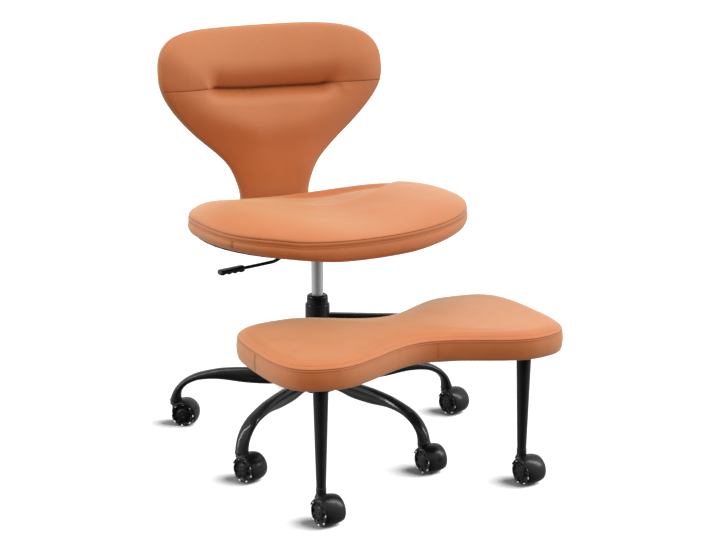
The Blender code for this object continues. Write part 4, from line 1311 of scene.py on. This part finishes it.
def leg_shape(angle):
    """Pressed leg: a round bead on top over a narrower web, running out into a round tube at the caster."""
    a = math.radians(angle)
    out = np.array((math.sin(a), -math.cos(a), 0.0))
    side = np.array((math.cos(a), math.sin(a), 0.0))
    up = np.array((0.0, 0.0, 1.0))
    sides = 56
    t = np.arange(sides) * math.tau / sides
    c, s = np.cos(t), np.sin(t)
    goals = np.concatenate([np.linspace(0.0, 2.0, 22)[:-1], np.linspace(2.0, 11.0, 78)])
    rings = []
    for row in smooth_table(LEG_STATIONS, goals):
        radius, height, half_h, half_w, down = row
        d = math.radians(min(down, 90.0))
        rise = up * math.cos(d) + out * math.sin(d)
        centre = out * radius + up * height
        flat = 1.0 - 0.16 * math.cos(d) ** 2
        share = 1.0 - smoothstep((radius - 0.150) / 0.145)
        narrow = 1.0 - share * (0.26 * smoothstep((0.02 - s) / 0.30) + 0.10 * np.exp(-(((s + 0.16) / 0.10) ** 2)))
        flare = 1.0 + 0.05 * math.exp(-(radius - 0.0334) / 0.003)
        x = half_w * signed_power(c, flat) * narrow * flare
        y = half_h * signed_power(s, flat) * flare
        rings.append(centre + np.outer(x, side) + np.outer(y, rise))
    # cut end of the tube with a small lip, and the bore for the stem
    end = out * BASE_R

    def end_ring(r, z):
        deep = r * (0.88 if r > 0.010 else 1.0)
        return end + np.outer(r * c, side) + np.outer(deep * s, out) + up * z

    rings = rings[:-1]
    for r, z in (
        (0.0159, LEG_END_Z + 0.0060),
        (0.0162, LEG_END_Z + 0.0045),
        (0.0162, LEG_END_Z + 0.0010),
        (0.0156, LEG_END_Z),
        (0.0068, LEG_END_Z),
        (0.0060, LEG_END_Z + 0.0008),
        (0.0060, 0.0884),
    ):
        rings.append(end_ring(r, z))
    rings = np.array(rings)
    points, faces = skin(rings, rings[0].mean(0), rings[-1].mean(0))
    shape = Shape()
    shape.add(points, faces)
    return shape


for number, angle in enumerate(LEG_ANGLES, 1):
    finish_piece(f"base_leg_{number}_pressing", leg_shape(angle), STEEL, "base", (f"base_leg_{number}",), 40.0)


def lathe_piece(name, profiles, material, body, replaces, sides=72, centre=(0.0, 0.0), angle=40.0):
    shape = Shape()
    for profile in profiles:
        shape.add(*turned(profile, sides, centre))
    return finish_piece(name, shape, material, body, replaces, angle)


def closed_profile(points, radius, steps=4):
    return [tuple(p) for p in rounded_loop(points, radius, steps)]


# hub ring, outer tube, bush, pivot sleeve and chromed cylinder
hub = [closed_profile([(0.0276, 0.1215), (0.0331, 0.1215), (0.0331, 0.166), (0.0276, 0.166)], 0.0016)]
lathe_piece("base_hub_ring", hub, STEEL, "base", ("base_hub",))
tube = closed_profile(
    [(0.0048, 0.1195), (0.0270, 0.1195), (0.0270, 0.2677), (0.0250, 0.2677), (0.0250, 0.341), (0.0236, 0.341), (0.0236, 0.1225), (0.0048, 0.1225)],
    0.0008,
)
lathe_piece("gas_lift_outer_tube", [tube], STEEL, "base", ("gas_lift_tube",))
bush = closed_profile(
    [
        (0.0145, 0.250),
        (0.0231, 0.250),
        (0.0231, 0.3413),
        (0.0248, 0.3413),
        (0.0248, 0.3462),
        (0.0236, 0.3488),
        (0.0205, 0.3505),
        (0.0168, 0.3505),
        (0.0158, 0.3494),
        (0.0145, 0.3490),
    ],
    0.0008,
)
lathe_piece("gas_lift_bush_cap", [bush], PLASTIC, "base", ("gas_lift_guide_bush",))
sleeve = closed_profile(
    [(0.0256, 0.268), (0.0290, 0.268), (0.0290, 0.3265), (0.0278, 0.329), (0.0256, 0.329)],
    0.0011,
)
lathe_piece("footrest_sleeve_ring", [sleeve], STEEL, "footrest", ("footrest_pivot_sleeve",))
cylinder = rounded(
    [(0.0, 0.217), (0.0140, 0.217), (0.0140, 0.438), (0.0132, 0.4783), (0.0, 0.4783)],
    [0.0006, 0.004, 0.0008],
)
lathe_piece("gas_lift_chrome_cylinder", [cylinder], CHROME, "seat", ("gas_lift_cylinder",), 96)

# ------------------------------------------------------------------ footrest frame
ARM_HALF_W, ARM_HALF_H, ARM_Z = 0.0100, 0.0122, 0.3056 - 0.0122


def bend_points(a, b, c, count):
    """Points from a to c round the corner b."""
    a, b, c = (np.array(p, float) for p in (a, b, c))
    return [a * (1 - t) ** 2 + b * 2 * t * (1 - t) + c * t**2 for t in np.linspace(0.0, 1.0, count)]


def arm_line():
    start = np.array((0.0255, -0.0155))
    line = [start / np.linalg.norm(start) * 0.0296, np.array((0.125, -0.078)) * 0.62]
    return line + bend_points((0.125, -0.078), (0.262, -0.150), (0.250, -0.330), 40) + [np.array((0.250, -0.468))]


def cross_bar_line():
    line = [np.array((0.2396, -0.360))] + bend_points((-0.190, -0.360), (-0.250, -0.360), (-0.250, -0.420), 24)
    return line + [np.array((-0.250, -0.468))]


def bar_shape(line):
    """Level rectangular tube with rounded edges, a weld swell at its start and a closed end."""
    path, _ = resample(line, 110, closed=False)
    along = np.gradient(path, axis=0)
    along /= np.linalg.norm(along, axis=1, keepdims=True)
    side = np.stack([along[:, 1], -along[:, 0]], axis=1)
    t = (np.arange(40) + 0.5) * math.tau / 40
    c, s = signed_power(np.cos(t), 0.36), signed_power(np.sin(t), 0.36)
    rings = []
    for k, spot in enumerate(path):
        run = np.linalg.norm(spot - path[0])
        flare = 1.0 + 0.10 * math.exp(-run / 0.0022)
        if k >= len(path) - 2:
            flare = 0.985 if k == len(path) - 2 else 0.90
        xy = spot + np.outer(c * ARM_HALF_W * flare, side[k])
        rings.append(np.column_stack([xy, ARM_Z + s * ARM_HALF_H * min(flare, 1.0)]))
    rings = np.array(rings)
    points, faces = skin(rings, rings[0].mean(0), rings[-1].mean(0))
    shape = Shape()
    shape.add(points, faces)
    return shape


def foot_leg_profile():
    return rounded(
        [
            (0.0, 0.0884),
            (0.0060, 0.0884),
            (0.0060, 0.0692),
            (0.0110, 0.0692),
            (0.0110, 0.0836),
            (0.0104, 0.0842),
            (0.0102, 0.0850),
            (0.0165, 0.2996),
            (0.0185, 0.3012),
            (0.0300, 0.3016),
            (0.0300, 0.3056),
            (0.0, 0.3056),
        ],
        [0.0, 0.0006, 0.0010, 0.0005, 0.0003, 0.0004, 0.0015, 0.0015, 0.0012, 0.0006],
        4,
    )


finish_piece("footrest_arm_tube", bar_shape(arm_line()), STEEL, "footrest", ("footrest_arm",), 40.0)
finish_piece("footrest_cross_tube", bar_shape(cross_bar_line()), STEEL, "footrest", ("footrest_cross_bar",), 40.0)
for side, sign in (("left", -1), ("right", 1)):
    lathe_piece(
        f"footrest_leg_{side}_cone",
        [[tuple(p) for p in foot_leg_profile()]],
        STEEL,
        "footrest",
        (f"footrest_leg_{side}",),
        64,
        (sign * FOOT_LEG_X, FOOT_LEG_Y),
        34.0,
    )

# ------------------------------------------------------------------ height lever
LEVER_PATH = np.array(
    (
        (-0.0012, 0.4905),
        (-0.030, 0.4895),
        (-0.046, 0.4820),
        (-0.070, 0.4660),
        (-0.098, 0.4490),
        (-0.112, 0.4435),
        (-0.130, 0.4415),
        (-0.212, 0.4350),
    )
)
HANDLE_STATIONS = np.array(
    (
        # x, height of the centre, half width, half height
        (-0.1890, 0.4368, 0.0070, 0.0062),
        (-0.1940, 0.4365, 0.0105, 0.0072),
        (-0.2080, 0.4355, 0.0120, 0.0072),
        (-0.2440, 0.4335, 0.0130, 0.0062),
        (-0.2500, 0.4330, 0.0105, 0.0046),
        (-0.2515, 0.4330, 0.0060, 0.0025),
    )
)


def lever_rod_shape():
    path = smooth_table(LEVER_PATH, np.linspace(0.0, len(LEVER_PATH) - 1, 70))
    t = np.arange(24) * math.tau / 24
    rings = []
    for k, (x, z) in enumerate(path):
        a, b = path[max(k - 1, 0)], path[min(k + 1, len(path) - 1)]
        along = (b - a) / np.linalg.norm(b - a)
        across = np.array((-along[1], 0.0, along[0]))
        r = 0.0040 if 0 < k < len(path) - 1 else 0.0033
        rings.append(
            np.array((x, 0.0, z)) + np.outer(np.cos(t) * r, (0.0, 1.0, 0.0)) + np.outer(np.sin(t) * r, across)
        )
    rings = np.array(rings)
    points, faces = skin(rings, rings[0].mean(0), rings[-1].mean(0))
    shape = Shape()
    shape.add(points, faces)
    return shape


def lever_handle_shape():
    """Flat paddle with three finger notches under it and a raised rim along the top."""
    rows = smooth_table(HANDLE_STATIONS, np.concatenate([np.linspace(0, 2, 16)[:-1], np.linspace(2, 3, 44)[:-1], np.linspace(3, 5, 16)]))
    t = np.arange(44) * math.tau / 44
    c, s = signed_power(np.cos(t), 0.62), signed_power(np.sin(t), 0.62)
    rings = []
    for x, z, half_w, half_h in rows:
        inside = smoothstep((-0.1990 - x) / 0.004) * smoothstep((x + 0.2440) / 0.004)
        notch = 0.0026 * inside * np.clip(-s, 0, 1) ** 0.5 * (0.5 - 0.5 * math.cos((x + 0.1990) / 0.045 * 3 * math.tau))
        dish = -0.0007 * inside * np.clip(s, 0, 1) * np.exp(-((c / 0.62) ** 2))
        rings.append(np.column_stack([np.full(len(t), x), half_w * c, z + half_h * s + notch + dish]))
    rings = np.array(rings)
    points, faces = skin(rings, rings[0].mean(0), rings[-1].mean(0))
    shape = Shape()
    shape.add(points, faces)
    return shape


finish_piece("lever_bent_rod", lever_rod_shape(), STEEL, "lever", ("lever_rod",), None)
finish_piece("lever_paddle", lever_handle_shape(), HANDLE, "lever", ("lever_handle",), 50.0)

# ------------------------------------------------------------------ screws


def screw_head(spot, direction, radius=0.0052, height=0.0029):
    """Button head with a hexagon socket."""
    sides = 24
    t = np.arange(sides) * math.tau / sides
    hexagon = math.cos(math.pi / 6) / np.cos((t + math.pi / 6) % (math.pi / 3) - math.pi / 6)
    rings = []
    for r, z in ((1.0, 0.0), (1.0, 0.25), (0.93, 0.58), (0.78, 0.86), (0.58, 1.0)):
        rings.append(np.column_stack([radius * r * np.cos(t), radius * r * np.sin(t), np.full(sides, height * z)]))
    for r, z in ((0.46, 1.0), (0.43, 0.93), (0.43, 0.35)):
        k = radius * r * hexagon
        rings.append(np.column_stack([k * np.cos(t), k * np.sin(t), np.full(sides, height * z)]))
    points, faces = skin(np.array(rings), (0, 0, 0), (0, 0, height * 0.30))
    return facing(points, direction, spot), faces


def washer(spot, direction, inner=0.0030, outer=0.0075, thick=0.0011):
    points, faces = turned(closed_profile([(inner, 0.0), (outer, 0.0), (outer, thick), (inner, thick)], 0.0003, 2), 28)
    return facing(points, direction, spot), faces


def screws(name, spots, body, material, direction=(0.0, 0.0, -1.0), with_washer=False):
    shape = Shape()
    for spot in spots:
        spot = np.array(spot, float)
        if with_washer:
            shape.add(*washer(spot, direction))
            spot = spot + np.array(direction) * 0.0010
        shape.add(*screw_head(spot, direction))
    finish_piece(name, shape, material, body, (), 34.0)


foot_spots = []
for sign in (-1, 1):
    for dx, dy in ((-1, -1), (1, -1), (-1, 1), (1, 1)):
        foot_spots.append((sign * FOOT_LEG_X + dx * 0.0165, FOOT_LEG_Y + dy * 0.0165, 0.30155))
screws("footrest_flange_screws", foot_spots, "footrest", BLACK_BOLT)
screws("mechanism_plate_screws", [(dx * 0.066, dy * 0.086, 0.4966) for dx in (-1, 1) for dy in (-1, 1)], "seat", ZINC, with_washer=True)
screws("bracket_screws", [(dx * 0.016, y, 0.4941) for dx in (-1, 1) for y in (0.118, 0.138)], "seat", ZINC, with_washer=True)

# ------------------------------------------------------------------ carried-over solids: finishes and eased edges
finishes = {
    "black_steel": STEEL,
    "black_plastic": PLASTIC,
    "black_board": BOARD,
    "tan_leather": LEATHER,
    "chrome": CHROME,
    "bright_steel": ZINC,
}
for entry in frame["record"]["subparts"]:
    node = frame["nodes"][entry["node"]]
    node.data.materials.clear()
    node.data.materials.append(finishes[entry["material_slot"]])
for name, width in (("seat_mechanism", 0.0014), ("back_bracket", 0.0010), ("seat_board", 0.0012), ("footrest_board", 0.0014)):
    ease = frame["nodes"][name].modifiers.new("eased_edges", "BEVEL")
    ease.width = width
    ease.segments = 3
    ease.limit_method = "ANGLE"
    ease.angle_limit = math.radians(38.0)
